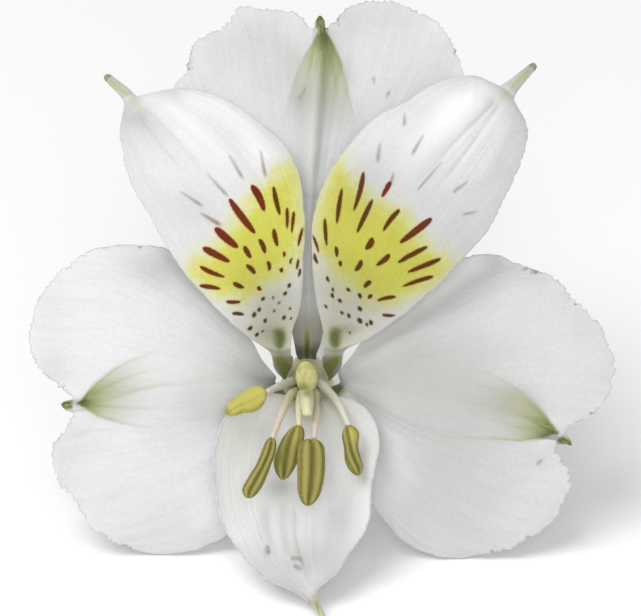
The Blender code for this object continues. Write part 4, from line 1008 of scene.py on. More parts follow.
    # The margin is thin and bruised in places.
    worn = s.span(s.noise(s.scaled(draw, (0.11, 0.11, 1.0)), 1.0, 3.0, 0.6), 0.38, 0.66, 0.35, 1.45)
    colour = s.mix(s.math("MULTIPLY", s.math("MULTIPLY", s.step(edge, 0.30, 0.02), worn), s.number("rim"), True), colour, (0.330, 0.326, 0.320))
    normal = s.bump(fine, 0.00007, 0.45)
    normal = s.bump(broad, 0.00018, 0.35, normal)
    normal = s.bump(cell, 0.00004, 0.35, normal)
    return s.done(colour, normal, s.span(fine, 0.3, 0.7, 0.50, 0.62))


def anther_material():
    s = Shade("anther", 0.72, 0.20, 0.05, (1.0, 0.8, 0.3), 0.0004)
    place = s.position()
    grain = s.noise(place, 4600.0, 3.0, 0.6)
    patch = s.noise(place, 1300.0, 3.0)
    colour = s.mix(s.step(grain, 0.35, 0.68), (0.200, 0.180, 0.042), (0.285, 0.260, 0.070))
    colour = s.mix(s.math("MULTIPLY", s.step(patch, 0.45, 0.7), 0.45), colour, (0.200, 0.160, 0.036))
    colour = s.mix(s.math("MULTIPLY", s.number("rimlight"), 0.60), colour, (0.385, 0.358, 0.118))
    # Painted shading in the groove between the lobes and in the splits between the sacs.
    colour = s.mix(s.number("groove"), colour, (0.105, 0.090, 0.016))
    colour = s.mix(s.number("yellowing"), colour, s.mix(grain, (0.480, 0.435, 0.075), (0.600, 0.555, 0.165)))
    colour = s.mix(s.number("paling"), colour, s.mix(s.step(patch, 0.40, 0.62), (0.500, 0.485, 0.225), (0.405, 0.380, 0.135)))
    # Dark spots: painted shadow on anther_3 where anther_2 overlaps it and in the pore of anther_6, and the darker
    # olive end of anther_1.
    colour = s.mix(s.number("dark"), colour, (0.260, 0.230, 0.055))
    normal = s.bump(grain, 0.00007, 0.8)
    normal = s.bump(s.cells(place, 9000.0), 0.00003, 0.6, normal)
    return s.done(colour, normal, s.span(grain, 0.3, 0.7, 0.64, 0.82))


def filament_material(name, colour_foot, colour_end):
    s = Shade(name, 0.45, 0.30, 0.25, (1.0, 0.75, 0.5), 0.0006)
    place, run = s.position(), s.number("run")
    streak = s.noise(s.scaled(s.vector("skin"), (9.0, 30.0, 1.0)), 1.0, 3.0)
    colour = s.mix(s.step(run, 0.45, 0.85), colour_foot, colour_end)
    colour = s.mix(s.math("MULTIPLY", s.step(streak, 0.45, 0.7), 0.35), colour, (0.700, 0.690, 0.610))
    colour = s.mix(s.math("MULTIPLY", s.noise(place, 2600.0, 2.0), 0.22), colour, (0.500, 0.470, 0.330))
    return s.done(colour, s.bump(streak, 0.00005, 0.5))


def green_material(name, light, dark, roughness=0.46, streak_scale=(26.0, 3.0, 1.0)):
    """Green stem tissue: fine lengthwise streaks, paler flecks and a faint bloom."""
    s = Shade(name, roughness, 0.4, 0.08, (0.5, 1.0, 0.3), 0.0006)
    skin, place = s.vector("skin"), s.position()
    streak = s.noise(s.scaled(skin, streak_scale), 1.0, 4.0, 0.6)
    cloud = s.noise(place, 160.0, 3.0)
    fleck = s.cells(s.scaled(place, (1.0, 0.35, 1.0)), 1500.0)
    colour = s.mix(s.step(streak, 0.35, 0.68), dark, light)
    colour = s.mix(s.math("MULTIPLY", s.step(cloud, 0.4, 0.72), 0.4), colour, tuple(c * 1.35 for c in light))
    colour = s.mix(s.math("MULTIPLY", s.step(fleck, 0.22, 0.05), 0.25), colour, (0.36, 0.46, 0.20))
    colour = s.mix(s.number("pale"), colour, (0.42, 0.48, 0.24))
    colour = s.mix(s.number("beige"), colour, (0.680, 0.655, 0.440))
    normal = s.bump(streak, 0.00012, 0.6)
    normal = s.bump(s.noise(place, 4200.0, 2.0), 0.00003, 0.5, normal)
    return s.done(colour, normal, s.span(streak, 0.3, 0.7, roughness - 0.06, roughness + 0.08))


def leaf_material():
    s = Shade("leaf", 0.44, 0.42, 0.10, (0.4, 1.0, 0.2), 0.0005)
    fan, place, back = s.vector("fan"), s.position(), s.number("back")
    veins = s.noise(s.scaled(fan, (60.0, 2.2, 3.0)), 1.0, 2.0, 0.45)
    cloud = s.noise(place, 220.0, 3.0)
    colour = s.mix(s.step(veins, 0.40, 0.66), (0.045, 0.125, 0.022), (0.085, 0.205, 0.040))
    colour = s.mix(s.math("MULTIPLY", s.step(cloud, 0.4, 0.7), 0.45), colour, (0.10, 0.235, 0.048))
    colour = s.mix(s.math("MULTIPLY", back, 0.45), colour, (0.17, 0.30, 0.11))
    colour = s.mix(s.math("MULTIPLY", s.step(s.number("edge"), 0.35, 0.0), 0.5), colour, (0.26, 0.36, 0.12))
    colour = s.mix(s.number("pale"), colour, (0.30, 0.42, 0.14))
    normal = s.bump(veins, 0.00022, 0.6)
    normal = s.bump(s.noise(place, 3800.0, 2.0), 0.00004, 0.5, normal)
    return s.done(colour, normal, s.span(veins, 0.3, 0.7, 0.38, 0.52))


def floor_material():
    s = Shade("floor", 0.6, 0.2)
    tone = s.noise(s.position(), 3.0, 2.0)
    return s.done(s.mix(tone, (0.955, 0.955, 0.958), (0.97, 0.97, 0.972)))


# ---------------------------------------------------------------- round bodies
def ring_body(name, rings, attributes, place, foot=None, end=None):
    """A closed body from rings of points (n, m, 3), each end closed by a point, or by the rings' own middle."""
    n, m = rings.shape[:2]
    foot = rings[0].mean(axis=0) if foot is None else foot
    end = rings[-1].mean(axis=0) if end is None else end
    i, j = np.meshgrid(np.arange(n - 1), np.arange(m), indexing="ij")
    a, b = i * m + j, i * m + (j + 1) % m
    quads = np.stack([a, b, b + m, a + m], axis=-1).reshape(-1, 4)
    j = np.arange(m)
    first = np.stack([np.full(m, n * m), (j + 1) % m, j], axis=-1)
    last = np.stack([np.full(m, n * m + 1), (n - 1) * m + j, (n - 1) * m + (j + 1) % m], axis=-1)
    points = np.concatenate([rings.reshape(-1, 3), [foot, end]])
    centre = rings[n // 2].mean(axis=0)
    corner = rings[n // 2][0] - centre
    side = np.cross(rings[n // 2][1] - rings[n // 2][0], rings[min(n // 2 + 1, n - 1)][0] - rings[n // 2][0])
    if np.dot(side, corner) < 0:
        quads, first, last = quads[:, ::-1], first[:, ::-1], last[:, ::-1]
    values = {}
    for key, value in attributes.items():
        flat = value.reshape((n * m,) + value.shape[2:])
        values[key] = np.concatenate([flat, value[0].mean(axis=0)[None], value[-1].mean(axis=0)[None]])
    return mesh_object(name, place(points), [quads, np.concatenate([first, last])], values, 60.0)


def frames_along(line):
    """The way ahead, and two ways across, at each point of a line, turned as little as possible."""
    ahead = np.gradient(line, axis=0)
    ahead /= np.linalg.norm(ahead, axis=1)[:, None]
    side = np.empty_like(ahead)
    pick = np.array([1.0, 0, 0]) if abs(ahead[0][0]) < 0.9 else np.array([0, 1.0, 0])
    s = np.cross(ahead[0], pick)
    for i, a in enumerate(ahead):
        s = s - a * np.dot(s, a)
        s /= np.linalg.norm(s)
        side[i] = s
    return ahead, side, np.cross(ahead, side)


def stalk(name, line, radius, around, place, attributes=None, ribs=None):
    """A stalk along a line, with its radius at each point; ribs(t, angle) scales it."""
    n = len(line)
    ahead, side, up = frames_along(line)
    angle = np.linspace(0, 2 * math.pi, around, endpoint=False)
    t = np.linspace(0, 1, n)
    scale = np.ones((n, around)) if ribs is None else ribs(t[:, None], angle[None, :])
    r = radius[:, None] * scale
    rings = line[:, None] + side[:, None] * (r * np.cos(angle))[..., None] + up[:, None] * (r * np.sin(angle))[..., None]
    run = np.concatenate([[0], np.cumsum(np.linalg.norm(np.diff(line, axis=0), axis=1))])
    values = {"run": np.repeat(t[:, None], around, axis=1),
              "skin": np.stack([np.repeat(np.cos(angle)[None], n, 0), np.repeat(run[:, None] * 0.12, around, 1), np.repeat(np.sin(angle)[None], n, 0)], axis=-1)}
    for key, value in (attributes or {}).items():
        values[key] = np.repeat(value[:, None], around, axis=1)
    return ring_body(name, rings, values, place)


def rounded(t, length, radius):
    """Radii that close a stalk's two ends in half rounds."""
    a = np.clip(t * length / radius, 0, 1)
    b = np.clip((1 - t) * length / radius, 0, 1)
    return np.sqrt(1 - (1 - a) ** 2) * np.sqrt(1 - (1 - b) ** 2)


def end_steps(n, share=0.12):
    """Shares from 0 to 1, closer together at both ends."""
    t = np.linspace(0, 1, n)
    return t - share * np.sin(2 * math.pi * t)


def turned_to(angle, at, wide):
    """A soft peak around the section, centred on an angle, which may change along the body."""
    off = (angle - at + math.pi) % (2 * math.pi) - math.pi
    return np.exp(-(off / wide) ** 2)


def anther(name, spec, look):
    """An anther: two lobes of two sacs each. look holds the groove's depth, yellowing, paling, and so on."""
    n, m = 90, 72
    t = (1 - np.cos(np.linspace(0.05, math.pi - 0.05, n))) / 2
    at, side, face, groove = anther_frame(spec, t)
    angle = np.linspace(0, 2 * math.pi, m, endpoint=False)[None]
    q, tt = groove[:, None], t[:, None]
    seed = sum(ord(c) for c in name)
    ends = smooth_step(np.minimum(t, 1 - t) / 0.10)[:, None]
    front = turned_to(angle, q, 0.24)
    rear = turned_to(angle, q + math.pi, 0.4)
    splits = turned_to(angle, q + 0.95, 0.13) + turned_to(angle, q - 0.95, 0.13)
    crests = turned_to(angle, q + 0.50, 0.22) + turned_to(angle, q - 0.50, 0.22)
    deep = look.get("deep", 1.0)
    r = 1 + deep * ends * (0.06 * crests - 0.30 * front - 0.16 * rear - 0.07 * splits)
    r = r * (1 + 0.030 * noise2(angle * 2.2 + 0 * tt, tt * 7, seed) + 0.014 * noise2(angle * 7 + 0 * tt, tt * 22, seed + 1))
    r = r * (1 - 0.05 * np.exp(-((tt - look.get("waist", 9)) / 0.10) ** 2))
    rings = at[:, None] + side[:, None] * (r * np.cos(angle))[..., None] + face[:, None] * (r * np.sin(angle))[..., None]
    # The notch between the two lobes' ends.
    notch = look.get("notch", 0.35) * deep
    axis = (at[-1] - at[0]) / np.linalg.norm(at[-1] - at[0])
    pull = np.exp(-((tt) / 0.07) ** 2) * notch * np.exp(-(np.cos(angle) / 0.35) ** 2) - np.exp(-((1 - tt) / 0.05) ** 2) * 0.5 * notch * np.exp(-(np.cos(angle) / 0.35) ** 2)
    rings = rings + axis * pull[..., None]
    grid = np.ones_like(r)
    dark = np.zeros_like(r)
    # Dark spots on the side facing front: painted shadow on anther_3 and in the pore of anther_6, the darker olive end
    # on anther_1.
    for x, y, reach, strength in look.get("spots", ()):
        px, py = drawn(rings)
        facing = smooth_step((np.sin(angle) + 0.2) / 0.4) * grid
        dark = np.maximum(dark, strength * np.exp(-(np.hypot(px - x, py - y) / reach) ** 2.5) * facing)
    values = {
        # Painted shading in the groove and the splits.
        "groove": np.clip(deep * (0.85 * front**1.3 + 0.45 * splits) * smooth_step((1.02 - np.abs(2 * tt - 1)) / 0.16) * grid, 0, 0.95),
        "rimlight": np.clip(crests, 0, 1) * grid,
        "yellowing": np.clip(look.get("yellow", 0) * grid + look.get("blush", 0) * turned_to(angle, q - 0.7, 0.6) * np.exp(-((tt - 0.2) / 0.22) ** 2), 0, 1),
        "paling": look.get("pale", 0) * grid,
        "dark": dark,
    }
    return ring_body(name + "_surface", rings, values, world)


# ---------------------------------------------------------------- building it all
def show(obj, node, material):
    obj.data.materials.append(material)
    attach(obj, "root")
    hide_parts(node)
    return obj


FLECKS = {
    "outer_tepal_top": [(300.5, 98, 305, 90, 3.0, 0.75), (373, 78, 374, 82, 2.6, 1.0), (386.5, 96.5, 389, 92.5, 2.2, 0.9)],
    "outer_tepal_right": [(537.5, 463.5, 540.5, 460.5, 3.4, 0.95)],
    "inner_tepal_lower": [(267, 548, 268, 553, 4.4, 1.0), (264.5, 551, 266, 556, 3.2, 0.5), (293, 559.5, 300.5, 559, 5.0, 0.75), (295, 567, 299.5, 569.5, 4.4, 0.75), (302, 560, 303.5, 563, 2.0, 0.7), (370, 507, 370.5, 510, 3.2, 1.0)],
}


def paint(name, x, y, fields):
    """What lies where on a tepal, as grids for its material."""
    zero = np.zeros_like(x)
    along, edge, across = fields["along"], fields["edge"], fields["fan"][..., 0]
    green, tint, painted_shading_and_dark_tone, fleck, light, painted_darkening = (zero.copy() for _ in range(6))
    spot = lambda cx, cy, rx, ry, power=2.0: np.exp(-np.hypot((x - cx) / rx, (y - cy) / ry) ** power)
    rim = np.full_like(x, 0.50 if name.startswith("outer") else 0.44) * smooth_step((along - 14) / 8)
    if name.startswith("outer"):
        rim = rim * (0.3 + 0.7 * smooth_step((fields.pop("corner") - 0.5) / 3.0))
    keel, claw = zero.copy(), zero.copy()
    if name in FANS:
        fan = FANS[name]
        lo, mid, hi = TEPALS[name]["tip"]
        line = fan["point"]
        d, share = to_line(x, y, line)
        beyond = smooth_step(share / 0.15)
        # The hooked point: dark along its edges and paler inside, and white where it leaves the notch.
        hook = np.exp(-(d / 5.5) ** 4) * beyond
        inner = np.exp(-(d / 1.7) ** 2) * smooth_step((share - 0.2) / 0.2) * (1 - smooth_step((share - 0.72) / 0.2))
        green = veins_and_fills(x, y, fan["apex"], fan["veins"], fan["fills"]) * (1 - hook)
        green = np.maximum(green, hook * (1.0 - 0.52 * inner * smooth_step((edge - 0.10) / 0.30)))
        rim = rim * (1 - hook)
        # Painted shading at the foot of the tepal, deep in the throat.
        painted_shading_and_dark_tone = np.maximum(painted_shading_and_dark_tone, 0.22 * (1 - smooth_step((along - 6) / 9)))
    if name.startswith("outer"):
        share = along / along.max()
        keel = 0.85 * np.exp(-np.abs((across - 0.5) / (0.045 - 0.02 * share)) ** 2.4) * (1 - 0.45 * share) + 0.6 * (1 - smooth_step(share / 0.25))
    if name == "outer_tepal_top":
        # Painted shading: grey along the midline, a little over the whole blade, and in broad patches.
        painted_shading_and_dark_tone = np.maximum(painted_shading_and_dark_tone, 0.08 * np.exp(-np.abs((x - 308) / (16 + 0.10 * np.abs(y - 200))) ** 3) * smooth_step((y - 60) / 40) * (1 - 0.7 * smooth_step((y - 150) / 30)))
        painted_shading_and_dark_tone = painted_shading_and_dark_tone + 0.045 + 0.20 * spot(255, 42, 48, 36) + 0.08 * spot(268, 84, 16, 20) + 0.05 * spot(350, 90, 16, 40) + 0.12 * spot(380, 14, 30, 20) + 0.13 * spot(345, 24, 16, 20)
        # Between the veins of the fan the blade is pleated: painted shading greys it there.
        painted_shading_and_dark_tone = painted_shading_and_dark_tone + 0.27 * spot(306, 94, 17, 28) + 0.13 * spot(298, 101, 7, 15) + 0.25 * spot(335, 100, 13, 30) + 0.09 * spot(308, 64, 13, 16) + 0.18 * spot(346, 72, 9, 24) + 0.15 * spot(292, 60, 16, 20)
        # Painted shadow over the strip of the top tepal between the two inner tepals' claws; the darker edges near its
        # foot are partly its own maroon.
        strip = smooth_step((y - 292) / 44)
        s = np.abs(2 * across - 1)
        painted_shading_and_dark_tone = np.maximum(painted_shading_and_dark_tone, strip * (0.66 + 0.22 * smooth_step((y - 335) / 14) * smooth_step((s - 0.35) / 0.4)))
        tint = np.maximum(tint, 0.35 * strip)
        # Painted light: a brighter band across the blade.
        light = np.maximum(light, 0.9 * smooth_step((y - 190) / 30) * (1 - smooth_step((y - 262) / 30)))
        green = np.maximum(green, 0.88 * np.exp(-((x - 307) / 4.2) ** 2) * smooth_step((y - 316) / 26))
    if name == "outer_tepal_right":
        green = np.maximum(green, 0.66 * np.exp(-(np.hypot((x - 339) / 1.25, (y - 390.5)) / 6.8) ** 2.6))
        # Painted shading: the right sepal greyer over its inner part and around its fan.
        painted_shading_and_dark_tone = np.maximum(painted_shading_and_dark_tone, 0.17 * spot(410, 372, 100, 72) + 0.06)
        painted_shading_and_dark_tone = painted_shading_and_dark_tone + 0.24 * spot(448, 425, 68, 114, 3) + 0.12 * spot(520, 410, 24, 11) + 0.22 * spot(519, 400, 20, 13) + 0.12 * spot(500, 398, 30, 15) + 0.10 * spot(533, 408, 10, 9) + 0.05 * spot(516, 424, 22, 9)
        # Painted light where the lower tepal's shadow falls, with the painted shading taken off there.
        light = np.maximum(light, 1.0 * spot(382, 488, 20, 46))
        painted_shading_and_dark_tone = painted_shading_and_dark_tone * (1 - 0.95 * spot(382, 488, 24, 50))
        # More painted shading towards the throat.
        painted_shading_and_dark_tone = painted_shading_and_dark_tone + 0.08 * spot(378, 392, 26, 20) + 0.13 * spot(400, 352, 34, 22)
        # Painted light along the line where the right inner tepal's shadow falls, with the painted shading taken off
        # there.
        d, _ = to_line(x, y, [(352, 350), (400, 322), (440, 290), (472, 264)])
        light = np.maximum(light, 1.0 * np.exp(-(d / 15) ** 2))
        painted_shading_and_dark_tone = painted_shading_and_dark_tone * (1 - 0.9 * np.exp(-(d / 15) ** 2))
    if name == "outer_tepal_left":
        # Painted shading: darker towards the throat, and broad grey patches over the blade and its fan.
        painted_shading_and_dark_tone = np.maximum(painted_shading_and_dark_tone, 0.34 * np.exp(-(np.hypot((x - 270) / 1.5, (y - 380)) / 8.5) ** 2))
        painted_shading_and_dark_tone = painted_shading_and_dark_tone + 0.13 * spot(118, 388, 30, 17) + 0.14 * spot(106, 410, 22, 9) + 0.08 * spot(135, 412, 26, 12) + 0.28 * spot(200, 402, 40, 26) + 0.28 * spot(158, 268, 30, 20) + 0.16 * spot(52, 372, 20, 22) + 0.10 * spot(84, 436, 26, 22) + 0.06 * spot(52, 320, 18, 30) + 0.09 * spot(62, 460, 16, 40) + 0.10 * spot(160, 436, 30, 16) + 0.09 * spot(132, 400, 24, 14) + 0.07 * spot(170, 350, 40, 20)
        # Painted light beside the lower tepal's edge, and along the line where the left inner tepal's shadow falls.
        light = np.maximum(light, 0.6 * spot(205, 505, 22, 30))
        d, _ = to_line(x, y, [(206, 306), (234, 332), (252, 350)])
        light = np.maximum(light, 0.6 * np.exp(-(d / 11) ** 2))
    if name.startswith("inner_tepal_upper"):
        left = name.endswith("left")
        mouth = (280, 340) if left else (335, 339)
        way = -1 if left else 1
        green = 0.86 * np.exp(-np.abs((x - mouth[0]) / 6.2) ** 2.8) * smooth_step((y - mouth[1] + 21) / 19) ** 1.3 * (1 - smooth_step((y - mouth[1] - 5.0) / 3.0))
        # The lip is pale; below it the channel is green, darkened with painted shading along its outer edge and beige
        # along its inner one, and painted light brightens the white below the lip.
        lip_y = 347.5 if left else 346.5
        below = smooth_step((y - lip_y - 0.5) / 9.0)
        # Its axis runs down and towards the middle.
        outward = (x - (282.5 if left else 331.5)) * way + (y - 364) * 0.52
        channel = np.exp(-np.abs((outward - 0.5) / 6.6) ** 2.6) * smooth_step((y - lip_y - 3.0) / 11.0)
        green = np.maximum(green * (1 - smooth_step((y - lip_y) / 4.0)), channel * (0.62 + 0.24 * smooth_step((y - 355) / 20)))
        painted_shading_and_dark_tone = np.maximum(painted_shading_and_dark_tone, 0.10 * smooth_step((outward - 5.0) / 4.0) * below)
        claw = np.maximum(claw, 0.95 * below * (1 - 0.25 * smooth_step((y - 362) / 16)))
        light = np.maximum(light, 0.9 * below)
        tint = np.maximum(tint, 0.75 * smooth_step((-outward + 1.0) / 5.0) * below)
        # Towards the mouth the white turns beige, and painted shading greys it towards the throat.
        near = np.hypot(x - mouth[0], (y - mouth[1]) / 1.1)
        tint = np.maximum(tint, 0.66 * np.exp(-(near / 42.0) ** 2.4) * (1 - below))
        painted_shading_and_dark_tone = np.maximum(painted_shading_and_dark_tone, 0.12 * np.exp(-(near / 46.0) ** 2.4) * (1 - below))
        if left:
            tint = np.maximum(tint, 0.42 * spot(272, 298, 34, 26))
            # Painted shading: the guide darker towards its lower, inner part, and grey patches over the blade and
            # towards the tip.
            painted_darkening = 0.05 * spot(226, 236, 40, 34, 3) + 0.16 * spot(270, 292, 40, 40, 3) + 0.10 * spot(270, 300, 26, 26)
            painted_shading_and_dark_tone = painted_shading_and_dark_tone + 0.13 * spot(196, 208, 26, 22)
            painted_shading_and_dark_tone = painted_shading_and_dark_tone + 0.34 * spot(137, 116, 19, 17) + 0.15 * spot(156, 134, 22, 22) + 0.10 * spot(160, 98, 22, 9)
        else:
            tint = np.maximum(tint, 0.55 * spot(342, 290, 40, 32))
            # Painted shading: the guide and the blade darker over broad patches, most towards the lower, inner part.
            painted_darkening = 0.17 * spot(365, 238, 112, 86, 4) + 0.15 * spot(342, 290, 36, 34, 3) + 0.10 * spot(362, 186, 32, 34, 3) + 0.10 * spot(380, 306, 26, 16) + 0.06 * spot(326, 254, 16, 26)
            painted_shading_and_dark_tone = painted_shading_and_dark_tone + 0.09 * spot(400, 158, 66, 42) + 0.12 * spot(486, 92, 26, 20) + 0.08 * spot(460, 236, 22, 26)
        tip = (106, 77) if left else (534, 65)
        neck = (133, 100.5) if left else (505, 94)
        d, share = to_line(x, y, [neck, tip])
        beyond = smooth_step((along / along.max() - 0.90) / 0.03)
        tube = np.exp(-(d / 8.5) ** 4) * smooth_step(share / 0.22) * beyond
        # The drawn-out tip: an olive core between pale edges, and a dark cap.
        core = np.exp(-(d / (2.1 + 0.6 * share)) ** 2.4)
        cap = smooth_step((share - 0.84) / 0.10)
        tint = np.maximum(tint, 0.75 * tube * (0.3 + 0.7 * core))
        flank = np.exp(-((d - 3.6) / 1.9) ** 2)
        green = np.maximum(green, tube * (0.34 * core + 0.16 * flank * smooth_step((share - 0.35) / 0.3)) * smooth_step(share / 0.3) * (1 - cap))
        claw = np.maximum(claw, tube * core * (0.42 - 0.36 * smooth_step((share - 0.50) / 0.3)))
        painted_shading_and_dark_tone = np.maximum(painted_shading_and_dark_tone, tube * (0.60 * cap + 0.16 + 0.16 * flank))
        start = (150, 116) if left else (488, 112)
        d, share = to_line(x, y, [neck, start])
        tint = np.maximum(tint, 0.55 * np.exp(-(d / 5.0) ** 2) * (1 - share))
        rim = rim * (1 - tube)
        # Painted light: a bright band beside the midline.
        band = [(150, 98), (176, 112), (206, 142), (232, 170)] if left else [(480, 92), (456, 108), (430, 138), (404, 168)]
        d, share = to_line(x, y, band)
        light = np.maximum(light, np.exp(-(d / 13.0) ** 2) * (1 - 0.7 * share))
        if left:
            # Painted light: a second bright band, on the left tepal.
            d, _ = to_line(x, y, [(190, 98), (216, 108), (240, 124), (262, 156)])
            light = np.maximum(light, 0.85 * np.exp(-(d / 13.0) ** 2))
    if name == "inner_tepal_lower":
        d1 = np.hypot((x - 244) / 15, (y - 436) / 40)
        d2 = np.hypot((x - 344) / 13, (y - 428) / 30)
        d3 = np.hypot((x - 306) / 34, (y - 404) / 17)
        tint = np.clip(0.18 * np.exp(-d1**2) + 0.24 * np.exp(-d2**2) + 0.54 * np.exp(-d3**2), 0, 1)
        # Painted shadow under and between the anthers' lower ends, and painted shading towards the tip.
        painted_shading_and_dark_tone = painted_shading_and_dark_tone + 0.50 * spot(280, 486, 15, 12) + 0.14 * spot(272, 500, 26, 16) + 0.16 * spot(262, 470, 14, 16) + 0.30 * spot(316, 560, 38, 26) + 0.08 * spot(350, 525, 20, 30)
        painted_shading_and_dark_tone = painted_shading_and_dark_tone * (1 - 0.6 * spot(292, 524, 22, 16))
        for cx, cy, rx, ry, strength in ((302, 482, 18, 22, 0.12), (333, 474, 9, 30, 0.12), (284, 486, 12, 16, 0.10), (276, 452, 9, 16, 0.10), (300, 576, 34, 22, 0.13), (291, 485, 7, 11, 0.22), (326, 470, 6, 22, 0.14)):
            painted_shading_and_dark_tone = np.maximum(painted_shading_and_dark_tone, strength * np.exp(-(np.hypot((x - cx) / rx, (y - cy) / ry)) ** 2))
        d, share = to_line(x, y, [(309, 590), (315, 600), (320, 611), (323.5, 622)])
        tube = np.exp(-(d / 6.0) ** 4) * smooth_step(share / 0.25)
        core = np.exp(-(d / 3.0) ** 2.4)
        tint = np.maximum(tint, 0.7 * tube)
        green = np.maximum(green, tube * core * 0.32 * smooth_step((share - 0.1) / 0.4))
        claw = np.maximum(claw, 0.62 * tube)
        painted_shading_and_dark_tone = np.maximum(painted_shading_and_dark_tone, 0.14 * tube)
        painted_shading_and_dark_tone = np.maximum(painted_shading_and_dark_tone, tube * 0.5 * smooth_step((share - 0.93) / 0.06))
        green = np.maximum(green, 0.5 * (1 - smooth_step((along - 5) / 8)))
        # Painted light over the upper and left parts of the bowl, to offset its shading.
        light = np.clip(0.42 * smooth_step((y - 400) / 40) * (1 - 0.8 * smooth_step((y - 530) / 40)) + 0.55 * np.exp(-(np.hypot((x - 240) / 28, (y - 480) / 66)) ** 2) + 0.85 * spot(236, 436, 18, 32) + 0.35 * spot(330, 425, 22, 26) + 0.55 * spot(234, 510, 18, 34) + 0.3 * spot(268, 412, 16, 16) + 0.5 * spot(292, 430, 24, 16) + 0.4 * spot(240, 516, 14, 26), 0, 1)
    for ax, ay, bx, by, width, strength in FLECKS.get(name, ()):
        d, _ = to_line(x, y, [(ax, ay), (bx, by)])
        fleck = np.maximum(fleck, strength * smooth_step((width / 2 + 1.4 - d) / 2.8))
    marks = {"green": np.clip(green, 0, 1), "tint": np.clip(tint, 0, 1), "painted_shading_and_dark_tone": painted_shading_and_dark_tone, "fleck": fleck, "light": light, "rim": rim, "keel": np.clip(keel, 0, 1), "claw": np.clip(claw, 0, 1), "painted_darkening": painted_darkening}
    if name.startswith("inner_tepal_upper"):
        left = name.endswith("left")
        streaks, dots, faded, ring, reds = ((STREAKS_LEFT, DOTS_LEFT, FADED_LEFT, YELLOW_LEFT, RED_LEFT) if left
                                            else (STREAKS_RIGHT, DOTS_RIGHT, FADED_RIGHT, YELLOW_RIGHT, RED_RIGHT))
        blade_only = along > 12
        streak, red = streak_field(x, y, streaks, dots, reds)
        marks["streak"] = np.where(blade_only, streak, -20)
        strength, marks["faded_red"] = faded_field(x, y, faded)
        marks["faded"] = strength * blade_only
        marks["yellow"] = np.clip(inside(x, y, ring), -40, 40)
        # Pigment over the yellow looks brown, and red towards its edge.
        marks["redness"] = np.clip(red + 0.18 * (1 - smooth_step((marks["yellow"] + 2) / 10)) * smooth_step((330 - y) / 40) * (red > 0), 0, 1)
    return marks


LOOKS = {
    "anther_1": dict(yellow=0.90, deep=0.34, notch=0.1, waist=0.62, spots=[(226.5, 412, 4.6, 0.8), (240, 414.5, 4.0, 0.45), (244, 401, 24, 0.13)]),
    "anther_2": dict(waist=0.45, notch=0.25),
    "anther_3": dict(blush=0.35, notch=0.1, spots=[(278, 457, 7.5, 0.95)]),
    "anther_4": dict(notch=0.55),
    "anther_5": dict(blush=0.75, waist=0.5, notch=0.2),
    "anther_6": dict(pale=0.96, deep=0.10, notch=0.0, spots=[(303.5, 386.0, 5.2, 1.0)]),
}


def build_flower():
    outer, guide = petal_material("petal_outer"), petal_material("petal_guide", True)
    for name in TEPALS:
        p, thick, fields, x, y = fine_surface(name)
        fields.update(paint(name, x, y, fields))
        fields.pop("corner", None)
        obj = shell(name + "_petal", p, thick, fields, world)
        upper = name.startswith("inner_tepal_upper")
        show(obj, name, guide if upper else outer)

    pink = filament_material("filament_pink", (0.610, 0.596, 0.370), (0.580, 0.492, 0.425))
    pale = filament_material("filament_pale", (0.600, 0.592, 0.490), (0.600, 0.594, 0.550))
    cream = filament_material("filament_cream", (0.640, 0.630, 0.370), (0.650, 0.635, 0.400))
    kinds = {"filament_1": pale, "filament_2": pink, "filament_3": cream, "filament_4": pink, "filament_5": pale, "filament_6": cream}
    for name, (points, foot, end) in FILAMENTS.items():
        t = end_steps(70)
        p = smooth_curve(points, t, chord_3d(local(points)))
        line = local(p)
        line[:, 2] -= 0.8 * (1 - smooth_step(t / 0.15))
        # Each runs on into its anther.
        ahead = (line[-1] - line[-8]) / np.linalg.norm(line[-1] - line[-8])
        line = line + ahead * (0.75 * smooth_step((t - 0.85) / 0.15))[:, None]
        length = np.linalg.norm(np.diff(line, axis=0), axis=1).sum()
        wide = np.interp(t, [0, 0.55, 0.85, 1], [0.60, 0.60, 0.46, 0.34])
        radius = wide * (1 + 0.05 * noise1(t * 14, 3)) * np.maximum(rounded(t, length, 0.4), 0.05)
        show(stalk(name + "_thread", line, radius, 22, world), name, kinds[name])
    olive = anther_material()
    for name, spec in ANTHERS.items():
        show(anther(name, spec, LOOKS[name]), name, olive)

    t = end_steps(80)
    line = local(smooth_curve(STYLE, t, chord_3d(local(STYLE))))
    length = np.linalg.norm(np.diff(line, axis=0), axis=1).sum()
    radius = (0.80 + 0.10 * np.exp(-((t - 0.72) / 0.14) ** 2) - 0.22 * smooth_step((t - 0.86) / 0.14)) * np.maximum(rounded(t, length, 0.55), 0.05)
    style = stalk("style_column", line, radius, 40, world, ribs=lambda tt, q: 1 + 0.10 * smooth_step((tt - 0.5) / 0.3) * np.cos(3 * q))
    show(style, "style", filament_material("style_skin", (0.560, 0.550, 0.250), (0.640, 0.640, 0.390)))


